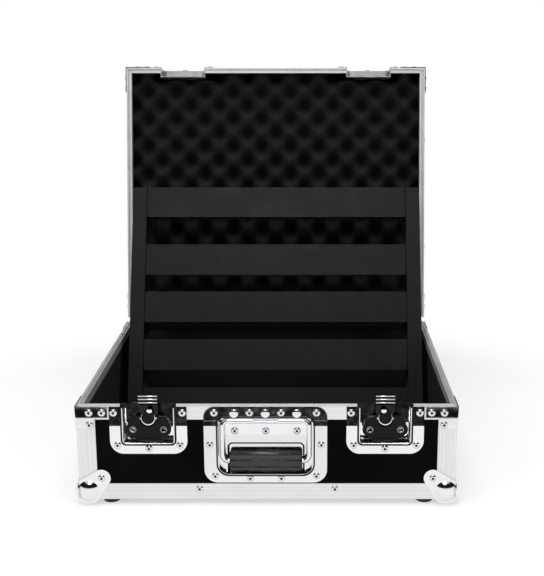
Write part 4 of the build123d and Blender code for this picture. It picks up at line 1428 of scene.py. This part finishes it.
# ------------------------------------------------------------------ the whole case
@dataclass
class PedalCase:
    """The open case: every finish, and the pieces that are shaped finer than their solids."""

    frame: dict
    rim_width: float = 27.0 * MM

    def rules(self, hinge: LidHinge) -> list[tuple[str, Material]]:
        """Pair each kind of node, by a part of its name, with its finish; the first that fits counts.

        Args:
            hinge: the lid's hinge, which the die lines of the lid's extrusions turn with.

        Returns:
            The pairs, with the exceptions before the general ones.
        """
        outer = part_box("tray_rim_profiles")[1]
        half = {"half_width": outer.x, "half_depth": outer.y}
        swung = {**half, "hinge": hinge.axis, "turned": hinge.angle}
        over_rim = {"roll_from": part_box("tray_rim_brackets")[1].z - self.rim_width}
        kinds = (
            # Black sheets that hardly shine: flat panels, and the tray's insides a shade lighter, a painted
            # sheen
            (Laminate("black_laminate_painted_inner_sheen", painted_inner_sheen="#2a2a2b"),
             "tray_front_panel tray_back_panel tray_left_panel tray_right_panel"),
            (Laminate("black_laminate"), "panel"),
            # Silvery frames with lines along them, greyer on the lid, which leans away from the light
            (Extrusion("mill_aluminium_tray", **half), "tray_rim_profiles tray_base_angles"),
            (Extrusion("mill_aluminium_lid", "#b6b6b9", **swung), "lid_rim_profiles lid_top_angles"),
            (Extrusion("mill_aluminium_upright", line=Line.UPRIGHT, **half), "tray_corner_angles"),
            (Extrusion("mill_aluminium_upright_lid", line=Line.UPRIGHT, **swung), "lid_corner_angles"),
            # Near mirrors: white where they face the room, with dark bands where they face the flags overhead
            (Plated("bright_chrome_bracket_over_rim", roll_power=2.0, **over_rim), "tray_rim_brackets"),
            (Plated("bright_chrome_handle_dish", lean_deg=9.0, **over_rim), "handle_dish"),
            (Plated("bright_chrome_plate_over_rim", **over_rim), "latch_dish handle_cover handle_bail"),
            (Plated("bright_chrome_plate"), "latch_cam ball_corners brackets"),
            # Duller plate, in greys that stand apart from the chrome beside them; the hooks and latch bases
            # dark grey, a painted dark reflection
            (Plated("satin_zinc_keeper", "#b4b4b7", 0.28, 0.9), "keeper_dish"),
            (Plated("nickel_painted_dark_reflection", "#2a2a2c", 0.12), "latch_hook latch_base"),
            # Soft blacks: the board's even satin and the feet's dull rubber
            (PowderCoat("satin_black_powder_coat"), "rail slat"),
            (MouldedRubber("black_moulded_rubber"), "feet"),
        )
        pairs = [(part, made) for finish, parts in kinds for made in [finish.build()] for part in parts.split()]
        # A grey metal with a broad, soft gleam, for every small steel part
        return [*pairs, ("", Plated("zinc_plated_steel", "#b9b9bb", 0.24, haze=0.12).build())]

    def build(self) -> None:
        """Dress the CAD nodes, then build the finer pieces."""
        nodes = self.frame["nodes"]
        hinge = LidHinge.from_frame(self.frame["joints"])
        rules = self.rules(hinge)
        for name, node in nodes.items():
            material = next(finish for part, finish in rules if part in name)
            put(node, material)
            LOG.info("%s: %s", name, material.name)
        # Foam that gives back almost no light, so that its crests read as dark grey and its pits, with painted
        # shade, as black
        LidFoam(hinge).build(nodes, OpenCellFoam("black_open_cell_foam").build())
        # Chrome wings and cam faces with a painted dark reflection, and pocket beads with painted shade; the
        # wings' outline shows by its bright edges, holes and folds
        painted_dark = Plated("chrome_painted_dark_reflection_and_shade", "#1f1f21", 0.1).build()
        trim = Plated("bright_chrome_trim", "#ececee", 0.08).build()
        dull = Plated("dull_nickel_eyelet", "#858588", 0.2).build()
        for side in ("left", "right"):
            cam = f"{side}_latch_cam"
            LatchWing(side).build(cam, f"{side}_latch_wing", painted_dark, dull)
            LatchTrim(side).build(cam, f"{side}_latch_hook", painted_dark, trim)
        # Soft plastic with a low sheen along its ridges
        HandleGrip().build("handle_grip", MouldedRubber("dark_grey_soft_pvc", "#262627", 0.24).build())
        # Pips that mirror the dark overhead, and so stand out from their plate
        leant = Plated("bright_chrome_pips", roughness=0.05, roll_from=1.0, lean_deg=8.0).build()
        HandlePips().build("handle_dish", leant)
        # The beads round the pocket mouths, in the dark finish, are painted shade
        Pockets().build(painted_dark, trim)
        # A black with no sheen at all: painted shade on the back rim's flange, seen between the slats
        matt = MouldedRubber("black_painted_shade_sheet", "#050506", 0.85).build()
        BackShadeStrip().build(nodes["tray_rim_profiles"], matt)
        nickel = RivetSteel("nickel_plated_steel").build()
        for body, kinds in (("tray", ("tray", "latch", "handle", "hinge_tray")),
                            ("lid", ("lid", "keeper", "hinge_lid"))):
            RivetHeads().build([nodes[f"{kind}_rivets"] for kind in kinds], f"{body}_rivet_heads", body, nickel)


def main() -> None:
    """Load the frame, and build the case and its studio."""
    logging.basicConfig(level=logging.INFO, format="%(message)s")
    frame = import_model()
    PedalCase(frame).build()
    Studio().build()


if __name__ == "__main__":
    main()
